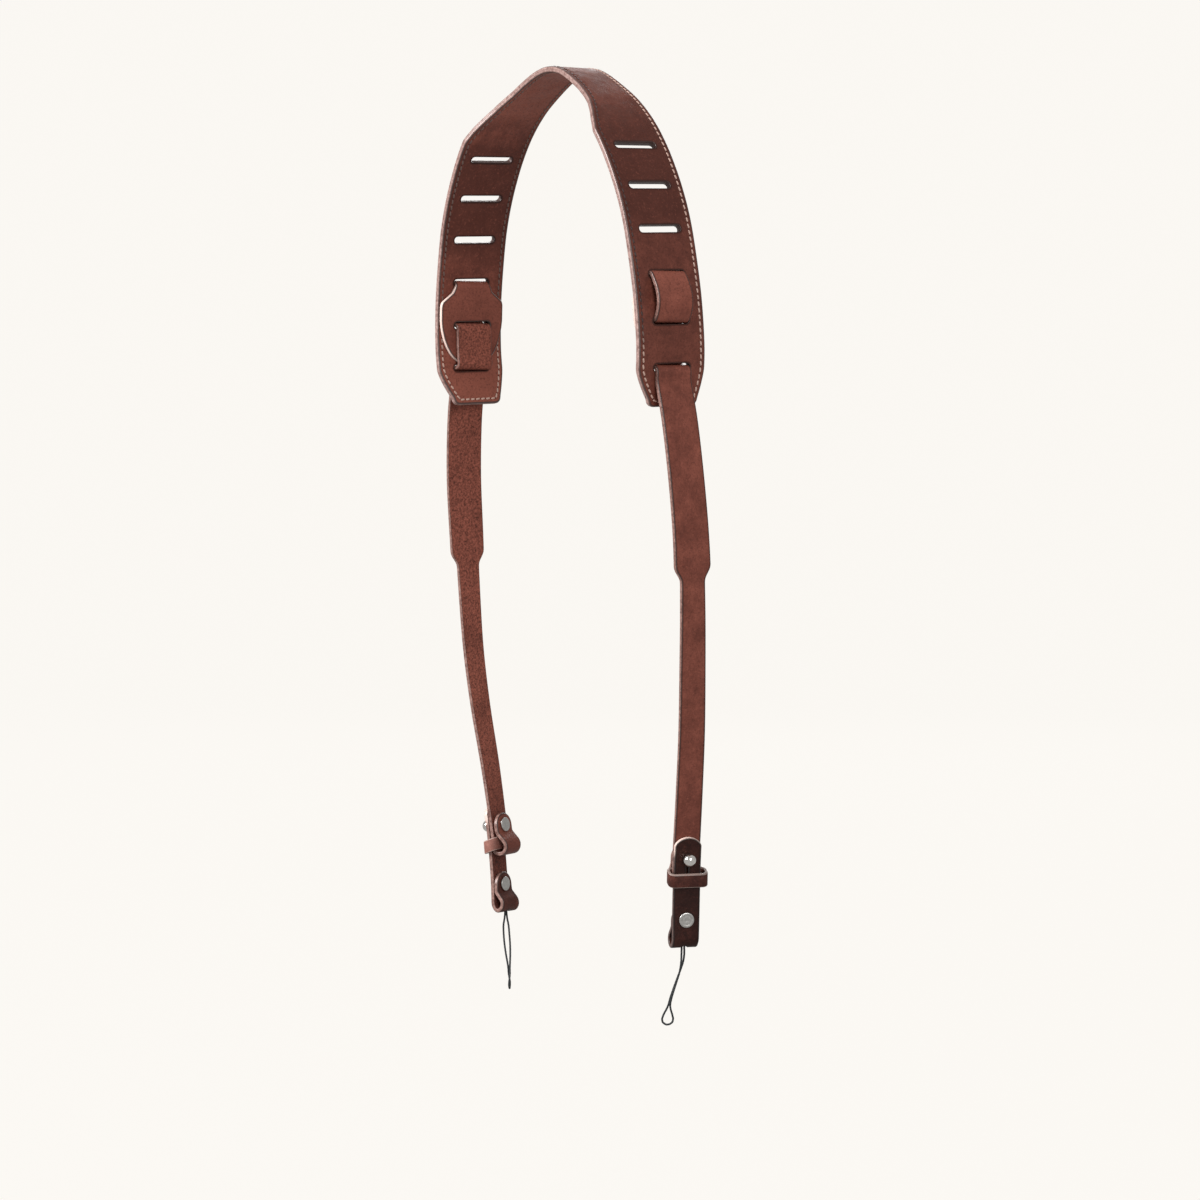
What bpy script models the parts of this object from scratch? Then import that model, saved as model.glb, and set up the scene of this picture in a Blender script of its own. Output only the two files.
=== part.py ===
"""Leather camera neck strap, hanging in its worn loop (metres, +Z up).

The origin is the underside of the crown, where the shoulder pad sits on the neck.
X runs across the loop, from the left leg to the right leg, and -Y is the edge that
faces the wearer's neck. Every leather piece is first a flat pattern, with a width
and holes along its length, and is then bent along its route.
"""

import math
from functools import partial

import bmesh
import bpy
import numpy as np

# Clearances
SEAT_GAP = 0.0003
HOLE_GAP = 0.0004

# Shoulder pad: two leathers, sewn back to back
PAD_LEATHER = 0.00165
PAD_WIDTH = 0.0464
PAD_CROWN_WIDTH = 0.0304
PAD_SPREAD = 0.1019
PAD_DROP = 0.1944
PAD_CROWN_BACK = 0.0099
PAD_END_BACK = 0.0034
PAD_CORNER_AT = 0.0775
PAD_END_TAPER = 0.0215
PAD_END_WIDTH = 0.0262
PAD_END_SHIFT = 0.0022
PAD_END_RADIUS = 0.0042

# Slots across the pad, three open and three that hold the leg
SLOT_FIRST_AT = 0.0892
SLOT_PITCH = 0.026
SLOT_COUNT = 6
SLOT_LENGTH = 0.0288
SLOT_WIDTH = 0.004

# Legs: one strap each, from the shield head in the weave to the fold at the ball stud
LEG_LEATHER = 0.0024
LEG_WIDTH = 0.0241
LEG_NARROW = 0.0158
LEG_SHOULDER_AT = 0.2818
LEG_SHOULDER = 0.0095
LEG_BEND = 0.0022
HEAD_WIDTH = 0.0442
HEAD_SLOT_LENGTH = 0.0274
WEAVE_BULGE = 0.0036
SETTLE_OUT = 0.0002
SETTLE_ALONG = 0.005

# The hang of the legs below the pad
HANG_DROP = 0.5
HANG_SPREAD = 0.1137
HANG_LEAN = 0.0138
HANG_TWIST_DEG = 24.0

# End fitting: each piece is placed below the ball stud or below the rivet
STUD_AT = 0.449
STUD_BALL = 0.0074
STUD_NECK = 0.0032
STUD_DISC = 0.0087
STUD_DISC_THICK = 0.0009
STUD_END = 0.0071
FOLD_DROP = 0.0184
FOLD_BULGE = 0.0091
FOLD_STAND_OFF = 0.0012
TAB_LEATHER = 0.0024
TAB_WIDTH = 0.0158
TAB_HEAD_WIDTH = 0.0188
TAB_HEAD = 0.0122
TAB_SLIT = 0.0068
TAB_SLIT_WIDTH = 0.0009
KEEPER_BELOW_STUD = 0.0116
KEEPER_HEIGHT = 0.0078
KEEPER_LEATHER = 0.0018
KEEPER_PLAY = 0.0009
KEEPER_SIDE_PLAY = 0.0019
KEEPER_RADIUS = 0.0018
KEEPER_ASIDE = 0.0007
KEEPER_TILT_DEG = 15.5
RIVET_BELOW_STUD = 0.0358
RIVET_CAP = 0.0088
RIVET_CAP_THICK = 0.0009
RIVET_SHANK = 0.0028
RIVET_END = 0.0073
LOOP_DROP = 0.0173
LOOP_BULGE = 0.0075
CORD_DIAMETER = 0.0012
CORD_HOLE = 0.004
CORD_DROP = 0.0452
CORD_LEAN = 0.0106
CORD_LEAN_WAY_DEG = 202.0
CORD_OPEN = 0.0036
CORD_TURN_FROM_DEG = -110.0
CORD_TURN_DEG = 150.0
KNOT_DIAMETER = 0.0038
KNOT_ABOVE_LEATHER = 0.0033

# How closely the leathers' rows lie along them, and how near a row may come to a hole's
PAD_ROW_STEP = 0.006
PAD_BAR_STEP = 0.0085
WEAVE_ROW_STEP = 0.0058
LEG_ROW_STEP = 0.013
ROW_CLEAR = 0.0004
TANGENT_REACH = 0.003

# Shares and curves of the forms
PAD_TAPER_CURVE = 1.35
WEAVE_BULGE_SKEW = 1.2
CAP_LEVEL = 0.3
CAP_SEAT = 0.53
CAP_CLEAR = 0.15
HEAD_NARROWS_FROM = 0.4
HEAD_NARROWS_TO = 1.2
END_TIP_SHARE = 0.2
MIDDLE_STRIP_SHARE = 0.2

# The pad's middle line, from the crown to its end.
# Columns: out, a share of PAD_SPREAD; down, a share of PAD_DROP.
ARCH = (
    (0.000, 0.000),
    (0.098, 0.007),
    (0.187, 0.025),
    (0.310, 0.059),
    (0.453, 0.105),
    (0.583, 0.164),
    (0.681, 0.226),
    (0.757, 0.288),
    (0.837, 0.370),
    (0.903, 0.464),
    (0.952, 0.580),
    (0.986, 0.695),
    (1.000, 0.817),
    (0.990, 0.895),
    (0.960, 1.000),
)

# The scoop of the neck edge.
# Columns: along, a share of PAD_CORNER_AT; cut, a share of the width that it takes away.
SCOOP = (
    (0.00, 1.00),
    (0.15, 0.98),
    (0.30, 0.92),
    (0.46, 0.85),
    (0.58, 0.73),
    (0.68, 0.61),
    (0.79, 0.40),
    (0.88, 0.21),
    (1.00, 0.00),
)

# The shield head from its tip to the turn.
# Columns: along, a share of its length; width, a share of HEAD_WIDTH.
HEAD = (
    (0.00, 0.44),
    (0.05, 0.60),
    (0.11, 0.71),
    (0.20, 0.82),
    (0.31, 0.91),
    (0.42, 0.97),
    (0.53, 1.00),
    (0.74, 1.00),
    (0.78, 0.97),
    (0.84, 0.81),
    (0.90, 0.64),
)

# A leg's line below the pad.
# Columns: down, out, lean and twist, shares of HANG_DROP, HANG_SPREAD, HANG_LEAN and
# HANG_TWIST_DEG.
HANG = (
    (0.402, 0.955, -0.21, 0.00),
    (0.472, 0.990, -0.07, 0.00),
    (0.542, 1.000, 0.11, 0.06),
    (0.612, 0.993, 0.22, 0.25),
    (0.684, 0.974, 0.33, 0.43),
    (0.754, 0.939, 0.51, 0.56),
    (0.826, 0.885, 0.72, 0.70),
    (0.898, 0.836, 0.87, 0.87),
    (0.934, 0.820, 0.93, 0.95),
    (0.970, 0.808, 0.97, 0.91),
    (1.010, 0.796, 0.99, 0.58),
)

# The upper fold's inner run, from its bottom up to the stud.
# Columns: up, a share of the height from the bottom to the stud; in, a share of FOLD_BULGE.
FOLD = (
    (0.030, 0.23),
    (0.000, 0.50),
    (0.045, 0.78),
    (0.170, 0.965),
    (0.330, 1.00),
    (0.450, 0.88),
    (0.560, 0.68),
)

# The lower loop's inner run, from its bottom up to the rivet.
# Columns: up, a share of the height from the bottom to the rivet; in, a share of LOOP_BULGE.
LOOP = (
    (0.060, 0.22),
    (0.000, 0.50),
    (0.060, 0.80),
    (0.200, 0.99),
    (0.360, 0.97),
    (0.500, 0.76),
    (0.590, 0.56),
)

# The cord from the hole down to its bend.
# Columns: down, lean and open, shares of CORD_DROP, CORD_LEAN and CORD_OPEN; turn, a share
# of CORD_TURN_DEG, by which one strand goes about the other.
CORD = (
    (0.000, 0.000, 0.44, 0.00),
    (0.080, 0.005, 0.54, 0.12),
    (0.180, 0.050, 0.86, 0.34),
    (0.300, 0.190, 1.00, 0.46),
    (0.430, 0.400, 1.00, 0.50),
    (0.560, 0.610, 0.80, 0.54),
    (0.660, 0.760, 0.56, 0.62),
    (0.740, 0.850, 0.46, 0.73),
    (0.800, 0.895, 0.80, 0.85),
    (0.860, 0.930, 1.35, 0.95),
    (0.925, 0.960, 1.78, 1.00),
    (0.975, 0.980, 1.40, 1.00),
)

MIRROR_X = np.array([-1.0, 1.0, 1.0])
ARC_STEPS = 4

# Depths below the crown that follow the sizes
FOLD_BOTTOM_AT = STUD_AT + FOLD_DROP
KEEPER_AT = STUD_AT + KEEPER_BELOW_STUD
RIVET_AT = STUD_AT + RIVET_BELOW_STUD
LOOP_BOTTOM_AT = RIVET_AT + LOOP_DROP


def material(name, colour, roughness, metallic=0.0):
    """A plain Principled finish."""
    made = bpy.data.materials.new(name)
    made.use_nodes = True
    shader = made.node_tree.nodes["Principled BSDF"]
    shader.inputs["Base Color"].default_value = (*colour, 1.0)
    shader.inputs["Roughness"].default_value = roughness
    shader.inputs["Metallic"].default_value = metallic
    return made


def add_object(name, vertices, faces, finish):
    """A named object from a closed mesh, with its faces turned out."""
    mesh = bpy.data.meshes.new(name)
    shape = bmesh.new()
    corners = [shape.verts.new(tuple(point)) for point in vertices]
    for face in faces:
        shape.faces.new([corners[index] for index in face])
    bmesh.ops.recalc_face_normals(shape, faces=shape.faces)
    shape.to_mesh(mesh)
    shape.free()
    mesh.shade_smooth()
    mesh.set_sharp_from_angle(angle=math.radians(35))
    mesh.materials.append(finish)
    made = bpy.data.objects.new(name, mesh)
    bpy.context.scene.collection.objects.link(made)
    return made


def spline(points, steps):
    """Points along a smooth curve that passes through every given point."""
    knots = np.asarray(points, float)
    first = 2 * knots[0] - knots[1]
    last = 2 * knots[-1] - knots[-2]
    padded = np.vstack([first, knots, last])
    made = []
    for i in range(1, len(padded) - 2):
        a, b, c, d = padded[i - 1 : i + 3]
        for t in np.linspace(0, 1, steps, endpoint=False):
            made.append(
                0.5 * (2 * b + (c - a) * t + (2 * a - 5 * b + 4 * c - d) * t**2
                       + (3 * b - a - 3 * c + d) * t**3)
            )
    made.append(knots[-1])
    return np.array(made)


def lengths_of(points):
    """The length along a run of points, at each point."""
    steps = np.linalg.norm(np.diff(points, axis=0), axis=1)
    return np.concatenate([[0.0], np.cumsum(steps)])


def unit(vectors):
    """Vectors, or rows of them, made one long."""
    return vectors / np.linalg.norm(vectors, axis=-1, keepdims=True)


class Line:
    """A run of points with the direction across the leather at each."""

    def __init__(self, points, sides):
        self.points = np.asarray(points, float)
        self.along = lengths_of(self.points)
        ahead = unit(np.gradient(self.points, self.along, axis=0))
        sides = np.asarray(sides, float)
        sides = sides - (sides * ahead).sum(axis=1, keepdims=True) * ahead
        self.sides = unit(sides)
        self.normals = unit(np.cross(ahead, self.sides))

    def at(self, distance):
        """The centre, the way across and the way out at a distance along the line."""
        centre, side, normal = (
            np.array([np.interp(distance, self.along, rows[:, k]) for k in range(3)])
            for rows in (self.points, self.sides, self.normals)
        )
        return centre, unit(side), unit(normal)


class Pattern:
    """The flat cut of one leather: its half widths and the holes on its middle line."""

    def __init__(self, near, far, resting_half):
        self.near = near
        self.far = far
        self.resting_half = resting_half
        self.holes = []

    def add_hole(self, rows):
        """A hole through the middle, as rows of (distance along, half length across)."""
        self.holes.append(sorted(rows))

    def stations(self, wanted):
        """Rows of (distance, near, far, half hole, open to the next row)."""
        keys = {}
        for hole in self.holes:
            for place, (distance, half) in enumerate(hole):
                keys[round(distance, 7)] = (half, place < len(hole) - 1)
        fixed = sorted(keys)
        for distance in wanted:
            clear = all(abs(distance - key) > ROW_CLEAR for key in fixed)
            inside = any(hole[0][0] < distance < hole[-1][0] for hole in self.holes)
            if clear and not inside:
                keys.setdefault(round(distance, 7), (self.resting_half, False))
        rows = []
        for distance in sorted(keys):
            half, opened = keys[distance]
            rows.append((distance, self.near(distance), self.far(distance), half, opened))
        return rows


def slot_rows(centre, length, width):
    """A slot across the leather with round ends."""
    rows = []
    for angle in np.radians((-90, -45, 0, 45, 90)):
        half = (length - width) / 2 + width / 2 * math.cos(angle)
        rows.append((centre + width / 2 * math.sin(angle), half))
    return rows


def hole_rows(centre, diameter):
    """A round hole, eight-sided."""
    rows = []
    for angle in np.radians((-67.5, -22.5, 22.5, 67.5)):
        rows.append((centre + diameter / 2 * math.sin(angle), diameter / 2 * math.cos(angle)))
    return rows


def bend_sheet(name, line, pattern, wanted, low, high, finish, mirror=False):
    """A closed leather solid: the pattern bent along the line, from offset low to high."""
    vertices = []
    faces = []
    rows = pattern.stations(wanted)
    for distance, near, far, half, _ in rows:
        centre, side, normal = line.at(distance)
        for offset in (low, high):
            for across in (-near, -half, half, far):
                vertices.append(centre + side * across + normal * offset)
    for i in range(len(rows) - 1):
        here, there = 8 * i, 8 * (i + 1)
        opened = rows[i][4]
        for cell in range(3):
            if opened and cell == 1:
                continue
            faces.append((here + cell, here + cell + 1, there + cell + 1, there + cell))
            faces.append((here + cell + 5, here + cell + 4, there + cell + 4, there + cell + 5))
        for column in (0, 3) + ((1, 2) if opened else ()):
            faces.append((here + column, there + column, there + column + 4, here + column + 4))
        was_open = i > 0 and rows[i - 1][4]
        if opened != was_open:
            faces.append((here + 1, here + 2, here + 6, here + 5))
    end = 8 * (len(rows) - 1)
    for start in (0, end):
        for cell in range(3):
            faces.append((start + cell, start + cell + 1, start + cell + 5, start + cell + 4))
    vertices = np.array(vertices)
    if mirror:
        vertices = vertices * MIRROR_X
    return add_object(name, vertices, faces, finish)


def spread(low, high, step):
    """Evenly spaced distances from low to high, about a step apart."""
    count = max(1, round((high - low) / step))
    return list(np.linspace(low, high, count + 1))


def arc(centre, radius, start_deg, end_deg, steps=ARC_STEPS):
    """Points of an arc in the plane of (along, out)."""
    angles = np.radians(np.linspace(start_deg, end_deg, steps + 1))
    return [(centre[0] + radius * math.cos(a), centre[1] + radius * math.sin(a)) for a in angles]


def pad_line():
    """The pad's middle surface from its left end over the crown to its right end."""
    half = [(out * PAD_SPREAD, -down * PAD_DROP) for out, down in ARCH]
    whole = [(-x, z) for x, z in half[:0:-1]] + half
    thick = 2 * PAD_LEATHER + SEAT_GAP
    flat = spline([(x, thick / 2 + z) for x, z in whole], 6)
    back = np.interp(-(flat[:, 1] - thick / 2), (0, PAD_DROP), (-PAD_CROWN_BACK, -PAD_END_BACK))
    points = np.column_stack([flat[:, 0], back, flat[:, 1]])
    line = Line(points, np.tile((0.0, 1.0, 0.0), (len(points), 1)))
    line.along = line.along - line.along[-1] / 2
    return line


PAD = pad_line()
PAD_HALF_LENGTH = PAD.along[-1]
PAD_THICK = 2 * PAD_LEATHER + SEAT_GAP
SLOTS = [SLOT_FIRST_AT + SLOT_PITCH * i for i in range(SLOT_COUNT)]
SLOT_TOP, SLOT_MIDDLE, SLOT_LOW = SLOTS[-3:]


def pad_end_half(distance, shift):
    """The half width towards one edge, where the end tapers and its corners are rounded."""
    left = PAD_HALF_LENGTH - abs(distance)
    corner = PAD_END_WIDTH / 2 + PAD_END_RADIUS + shift
    if left >= PAD_END_TAPER:
        return PAD_WIDTH / 2
    if left >= PAD_END_RADIUS:
        share = (PAD_END_TAPER - left) / (PAD_END_TAPER - PAD_END_RADIUS)
        return PAD_WIDTH / 2 - (PAD_WIDTH / 2 - corner) * share**PAD_TAPER_CURVE
    lift = min(1.0, (PAD_END_RADIUS - left) / PAD_END_RADIUS)
    return corner - PAD_END_RADIUS * (1 - math.sqrt(1 - lift**2))


def pad_far_half(distance):
    """The half width towards the straight back edge."""
    return pad_end_half(distance, PAD_END_SHIFT)


def pad_near_half(distance):
    """The half width towards the scooped neck edge."""
    share = abs(distance) / PAD_CORNER_AT
    cut = np.interp(share, [row[0] for row in SCOOP], [row[1] for row in SCOOP])
    return pad_end_half(distance, -PAD_END_SHIFT) - cut * (PAD_WIDTH - PAD_CROWN_WIDTH)


def pad_pattern():
    """The pad's cut with its six slots a side."""
    crown_half = PAD_CROWN_WIDTH - PAD_WIDTH / 2
    resting_half = min((SLOT_LENGTH - SLOT_WIDTH) / 2, crown_half * (1 - MIDDLE_STRIP_SHARE))
    pattern = Pattern(pad_near_half, pad_far_half, resting_half)
    for side in (-1, 1):
        for centre in SLOTS:
            pattern.add_hole(slot_rows(side * centre, SLOT_LENGTH, SLOT_WIDTH))
    return pattern


def pad_stations():
    """Where the pad's mesh has a row: the crown, the scoop, the slots' bars and the ends."""
    half = [share * PAD_CORNER_AT for share, _ in SCOOP]
    half += spread(PAD_CORNER_AT, SLOT_FIRST_AT - SLOT_WIDTH / 2, PAD_ROW_STEP)
    for centre in SLOTS:
        bar_end = centre + SLOT_PITCH - SLOT_WIDTH / 2
        half += spread(centre + SLOT_WIDTH / 2, bar_end, PAD_BAR_STEP)
    half = [value for value in half if value < PAD_HALF_LENGTH - PAD_END_TAPER]
    taper = PAD_END_TAPER - PAD_END_RADIUS
    half += [PAD_HALF_LENGTH - PAD_END_RADIUS - taper * k for k in (1, 0.75, 0.5, 0.25, 0)]
    half += [PAD_HALF_LENGTH - PAD_END_RADIUS * k for k in (0.6, 0.3, 0.1, 0)]
    return sorted({-value for value in half} | set(half))


def on_pad(along, out):
    """The world point at a distance along the right half of the pad and off its middle."""
    centre, _, normal = PAD.at(along)
    return centre + normal * out


class Route:
    """A leather's run, as world points and sides, with marks kept at places along it."""

    def __init__(self):
        self.points = []
        self.sides = []
        self.marks = {}

    def add(self, point, side=(0.0, 1.0, 0.0), mark=None):
        """One more point, with a name for it where the pattern needs it."""
        self.points.append(np.asarray(point, float))
        self.sides.append(np.asarray(side, float))
        if mark:
            self.marks[mark] = len(self.points) - 1

    def line(self):
        """The route as a line, and the distance of each mark along it."""
        made = Line(self.points, self.sides)
        return made, {name: made.along[index] for name, index in self.marks.items()}


# Offsets of the leg's middle from the pad's middle, in the weave
OUTER_LIE = PAD_THICK / 2 + SEAT_GAP + LEG_LEATHER / 2
HEAD_LIE = -OUTER_LIE
PASSING_LIE = HEAD_LIE - LEG_LEATHER - SEAT_GAP
HEAD_TIP_AT = SLOT_LOW - LEG_BEND - LEG_LEATHER / 2
HEAD_TURN_AT = SLOT_TOP + LEG_BEND
HEAD_LENGTH = HEAD_TIP_AT - HEAD_TURN_AT


def weave_into(route):
    """The leg's run from the head's tip through the three lower slots to the outer side."""
    bend = LEG_BEND
    for value in reversed(spread(SLOT_MIDDLE, HEAD_TIP_AT, WEAVE_ROW_STEP)):
        route.add(on_pad(value, HEAD_LIE), mark="head_slot" if value == SLOT_MIDDLE else None)
    for value in reversed(spread(HEAD_TURN_AT, SLOT_MIDDLE, WEAVE_ROW_STEP)[:-1]):
        route.add(on_pad(value, HEAD_LIE))
    turns = arc((SLOT_TOP + bend, HEAD_LIE + bend), bend, 270, 180)[1:]
    turns += arc((SLOT_TOP + bend, OUTER_LIE - bend), bend, 180, 90)
    for along, out in turns:
        route.add(on_pad(along, out))
    low, high = SLOT_TOP + bend, SLOT_MIDDLE - bend
    for share in np.linspace(0, 1, 9)[1:-1]:
        swell = (1 - math.cos(2 * math.pi * share**WEAVE_BULGE_SKEW)) / 2
        bulge = WEAVE_BULGE * swell
        route.add(on_pad(low + (high - low) * share, OUTER_LIE + bulge))
    turns = arc((SLOT_MIDDLE - bend, OUTER_LIE - bend), bend, 90, 0)
    turns += arc((SLOT_MIDDLE + bend, PASSING_LIE + bend), bend, 180, 270)
    for along, out in turns:
        route.add(on_pad(along, out))
    for value in spread(SLOT_MIDDLE + bend, SLOT_LOW - bend, WEAVE_ROW_STEP)[1:-1]:
        route.add(on_pad(value, PASSING_LIE))
    turns = arc((SLOT_LOW - bend, PASSING_LIE + bend), bend, 270, 360)
    turns += arc((SLOT_LOW + bend, OUTER_LIE - bend), bend, 180, 90)
    for along, out in turns:
        route.add(on_pad(along, out))


class Hang:
    """The right leg's line below the pad, read by how far down it is."""

    def __init__(self):
        rows = []
        for along, out in ((LEG_BEND, 0.0), (LEG_BEND + SETTLE_ALONG, SETTLE_OUT)):
            point = on_pad(SLOT_LOW + along, OUTER_LIE + out)
            rows.append((*point, 0.0))
        for down, out, lean, twist in HANG:
            point = (out * HANG_SPREAD, lean * HANG_LEAN, -down * HANG_DROP)
            rows.append((*point, twist * HANG_TWIST_DEG))
        self.rows = spline(rows, 6)
        self.start = -self.rows[0, 2]

    def place(self, down):
        """The line's own point at a depth."""
        depth = -self.rows[:, 2]
        return np.array([*(np.interp(down, depth, self.rows[:, k]) for k in (0, 1)), -down])

    def at(self, down, out=0.0):
        """A point at a depth, off the line, with the ways across and out of the leather."""
        twist = np.interp(down, -self.rows[:, 2], self.rows[:, 3])
        turn = math.radians(twist)
        side = np.array([math.sin(turn), math.cos(turn), 0.0])
        ahead = unit(self.place(down + TANGENT_REACH) - self.place(down - TANGENT_REACH))
        side = unit(side - side.dot(ahead) * ahead)
        outward = unit(np.cross(ahead, side))
        return self.place(down) + outward * out, side, outward


HANGING = Hang()
TAB_LIE = LEG_LEATHER / 2 + SEAT_GAP + TAB_LEATHER / 2
RETURN_LIE = -(LEG_LEATHER + FOLD_STAND_OFF)


def settle_rows(cap):
    """Where returned leather comes down to its seat below a cap: rows of (below, lift)."""
    seat, clear = CAP_SEAT * cap, CAP_CLEAR * cap
    return [(seat + clear, clear), (seat, 0.0), (CAP_LEVEL * cap, 0.0)]


def leg_line():
    """The right leg's whole run and its marks."""
    route = Route()
    weave_into(route)
    places = spread(HANGING.start, LEG_SHOULDER_AT, LEG_ROW_STEP)[1:]
    places += [LEG_SHOULDER_AT + LEG_SHOULDER * k for k in (0.25, 0.5, 0.75, 1.0)]
    places += spread(LEG_SHOULDER_AT + LEG_SHOULDER, STUD_AT, LEG_ROW_STEP)[1:]
    for down in places:
        point, side, _ = HANGING.at(down)
        mark = {LEG_SHOULDER_AT: "shoulder", STUD_AT: "stud"}.get(down)
        route.add(point, side, mark)
    height = FOLD_BOTTOM_AT - LEG_LEATHER / 2 - STUD_AT
    for share in (0.28, 0.55, 0.8, 0.91):
        point, side, _ = HANGING.at(STUD_AT + height * share)
        route.add(point, side)
    for up, inward in FOLD:
        point, side, _ = HANGING.at(STUD_AT + height * (1 - up), -FOLD_BULGE * inward)
        route.add(point, side)
    for below, lift in settle_rows(STUD_DISC):
        point, side, _ = HANGING.at(STUD_AT + below, RETURN_LIE - lift)
        route.add(point, side)
    for down, mark in ((STUD_AT, "stud_return"), (STUD_AT - STUD_END, "end")):
        point, side, _ = HANGING.at(down, RETURN_LIE)
        route.add(point, side, mark)
    return route.line()


def rounded_end(left, half):
    """The half width of a strap at a distance from its round end."""
    if left >= half:
        return half
    round_half = half * math.sqrt(max(0.0, 1 - (1 - left / half) ** 2))
    return max(round_half, half * END_TIP_SHARE)


def round_end_places(end, half, way):
    """Rows that follow a round end, from its start to its tip."""
    return [end - way * half * (1 - math.sin(math.radians(a))) for a in (20, 45, 65, 80, 88)]


def leg_half(distance, marks):
    """The leg's half width along its cut: head, wide run, shoulder, narrow run, round end."""
    head_share = distance / HEAD_LENGTH
    narrow = LEG_NARROW / 2
    if head_share < 1:
        rows = HEAD + ((1.0, LEG_WIDTH / HEAD_WIDTH),)
        share = np.interp(head_share, [row[0] for row in rows], [row[1] for row in rows])
        return HEAD_WIDTH / 2 * share
    if distance < marks["shoulder"]:
        return LEG_WIDTH / 2
    past = (distance - marks["shoulder"]) / LEG_SHOULDER
    if past < 1:
        ease = (1 - math.cos(math.pi * past)) / 2
        return LEG_WIDTH / 2 + (narrow - LEG_WIDTH / 2) * ease
    return rounded_end(marks["end"] - distance, narrow)


def make_leg(name, finish, mirror):
    """One leg: shield head, weave, strap and the fold that the ball stud closes."""
    line, marks = leg_line()
    half = partial(leg_half, marks=marks)
    pattern = Pattern(half, half, LEG_NARROW * MIDDLE_STRIP_SHARE)
    pattern.add_hole(slot_rows(marks["head_slot"], HEAD_SLOT_LENGTH, SLOT_WIDTH))
    for mark in ("stud", "stud_return"):
        pattern.add_hole(hole_rows(marks[mark], STUD_NECK + 2 * HOLE_GAP))
    wanted = list(line.along) + [share * HEAD_LENGTH for share, _ in HEAD]
    wanted = [value for value in wanted if value <= marks["end"] - LEG_NARROW / 2]
    wanted += round_end_places(marks["end"], LEG_NARROW / 2, 1) + [marks["end"]]
    low, high = -LEG_LEATHER / 2, LEG_LEATHER / 2
    return bend_sheet(name, line, pattern, sorted(wanted), low, high, finish, mirror)


def tab_line():
    """The end tab's run: down over the ball, round the cord's eye and up to the rivet."""
    route = Route()
    top = STUD_AT - TAB_HEAD
    for down in (top, (top + STUD_AT) / 2):
        point, side, _ = HANGING.at(down, TAB_LIE)
        route.add(point, side)
    marks = {STUD_AT: "ball", RIVET_AT: "rivet"}
    for down in np.linspace(STUD_AT, RIVET_AT, 5):
        point, side, _ = HANGING.at(down, TAB_LIE)
        route.add(point, side, marks.get(down))
    height = LOOP_BOTTOM_AT - TAB_LEATHER / 2 - RIVET_AT
    for share in (0.4, 0.75):
        point, side, _ = HANGING.at(RIVET_AT + height * share, TAB_LIE)
        route.add(point, side)
    for up, inward in LOOP:
        mark = "eye" if up == 0 else None
        point, side, _ = HANGING.at(RIVET_AT + height * (1 - up), TAB_LIE - LOOP_BULGE * inward)
        route.add(point, side, mark)
    back = TAB_LIE - TAB_LEATHER - SEAT_GAP
    for below, lift in settle_rows(RIVET_CAP):
        point, side, _ = HANGING.at(RIVET_AT + below, back - lift)
        route.add(point, side)
    for down, mark in ((RIVET_AT, "rivet_return"), (RIVET_AT - RIVET_END, "end")):
        point, side, _ = HANGING.at(down, back)
        route.add(point, side, mark)
    return route.line()


def tab_half(distance, marks):
    """The tab's half width: a round head, then the plain strap, then a round end."""
    head, plain = TAB_HEAD_WIDTH / 2, TAB_WIDTH / 2
    wide_to = marks["ball"] + TAB_SLIT * HEAD_NARROWS_FROM
    plain_from = marks["ball"] + TAB_SLIT * HEAD_NARROWS_TO
    past = np.interp(distance, (wide_to, plain_from), (0, 1))
    wide = head + (plain - head) * past
    return min(rounded_end(distance, wide), rounded_end(marks["end"] - distance, plain))


def make_tab(name, finish, mirror):
    """One end tab with its keyhole, its rivet holes and the hole for the cord."""
    line, marks = tab_line()
    half = partial(tab_half, marks=marks)
    pattern = Pattern(half, half, TAB_WIDTH * MIDDLE_STRIP_SHARE)
    keyhole = hole_rows(marks["ball"], STUD_NECK + 3 * HOLE_GAP)
    slit_from = marks["ball"] + STUD_NECK / 2 + 2.5 * HOLE_GAP
    keyhole.append((slit_from, TAB_SLIT_WIDTH / 2))
    keyhole.append((slit_from + TAB_SLIT, TAB_SLIT_WIDTH / 2))
    pattern.add_hole(keyhole)
    for mark in ("rivet", "rivet_return"):
        pattern.add_hole(hole_rows(marks[mark], RIVET_SHANK + 2 * HOLE_GAP))
    pattern.add_hole(hole_rows(marks["eye"], CORD_HOLE))
    wanted = [v for v in line.along if TAB_HEAD_WIDTH / 2 < v < marks["end"] - TAB_WIDTH / 2]
    wanted += [0.0, marks["end"]]
    wanted += round_end_places(0.0, TAB_HEAD_WIDTH / 2, -1)
    wanted += round_end_places(marks["end"], TAB_WIDTH / 2, 1)
    low, high = -TAB_LEATHER / 2, TAB_LEATHER / 2
    return bend_sheet(name, line, pattern, sorted(wanted), low, high, finish, mirror)


def rounded_rectangle(width, depth, radius, steps=3):
    """The outline of a rectangle with round corners, anticlockwise."""
    points = []
    for x, y, start in ((1, 1, 0), (-1, 1, 90), (-1, -1, 180), (1, -1, 270)):
        centre = (x * (width / 2 - radius), y * (depth / 2 - radius))
        points += arc(centre, radius, start, start + 90, steps)
    return points


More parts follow.
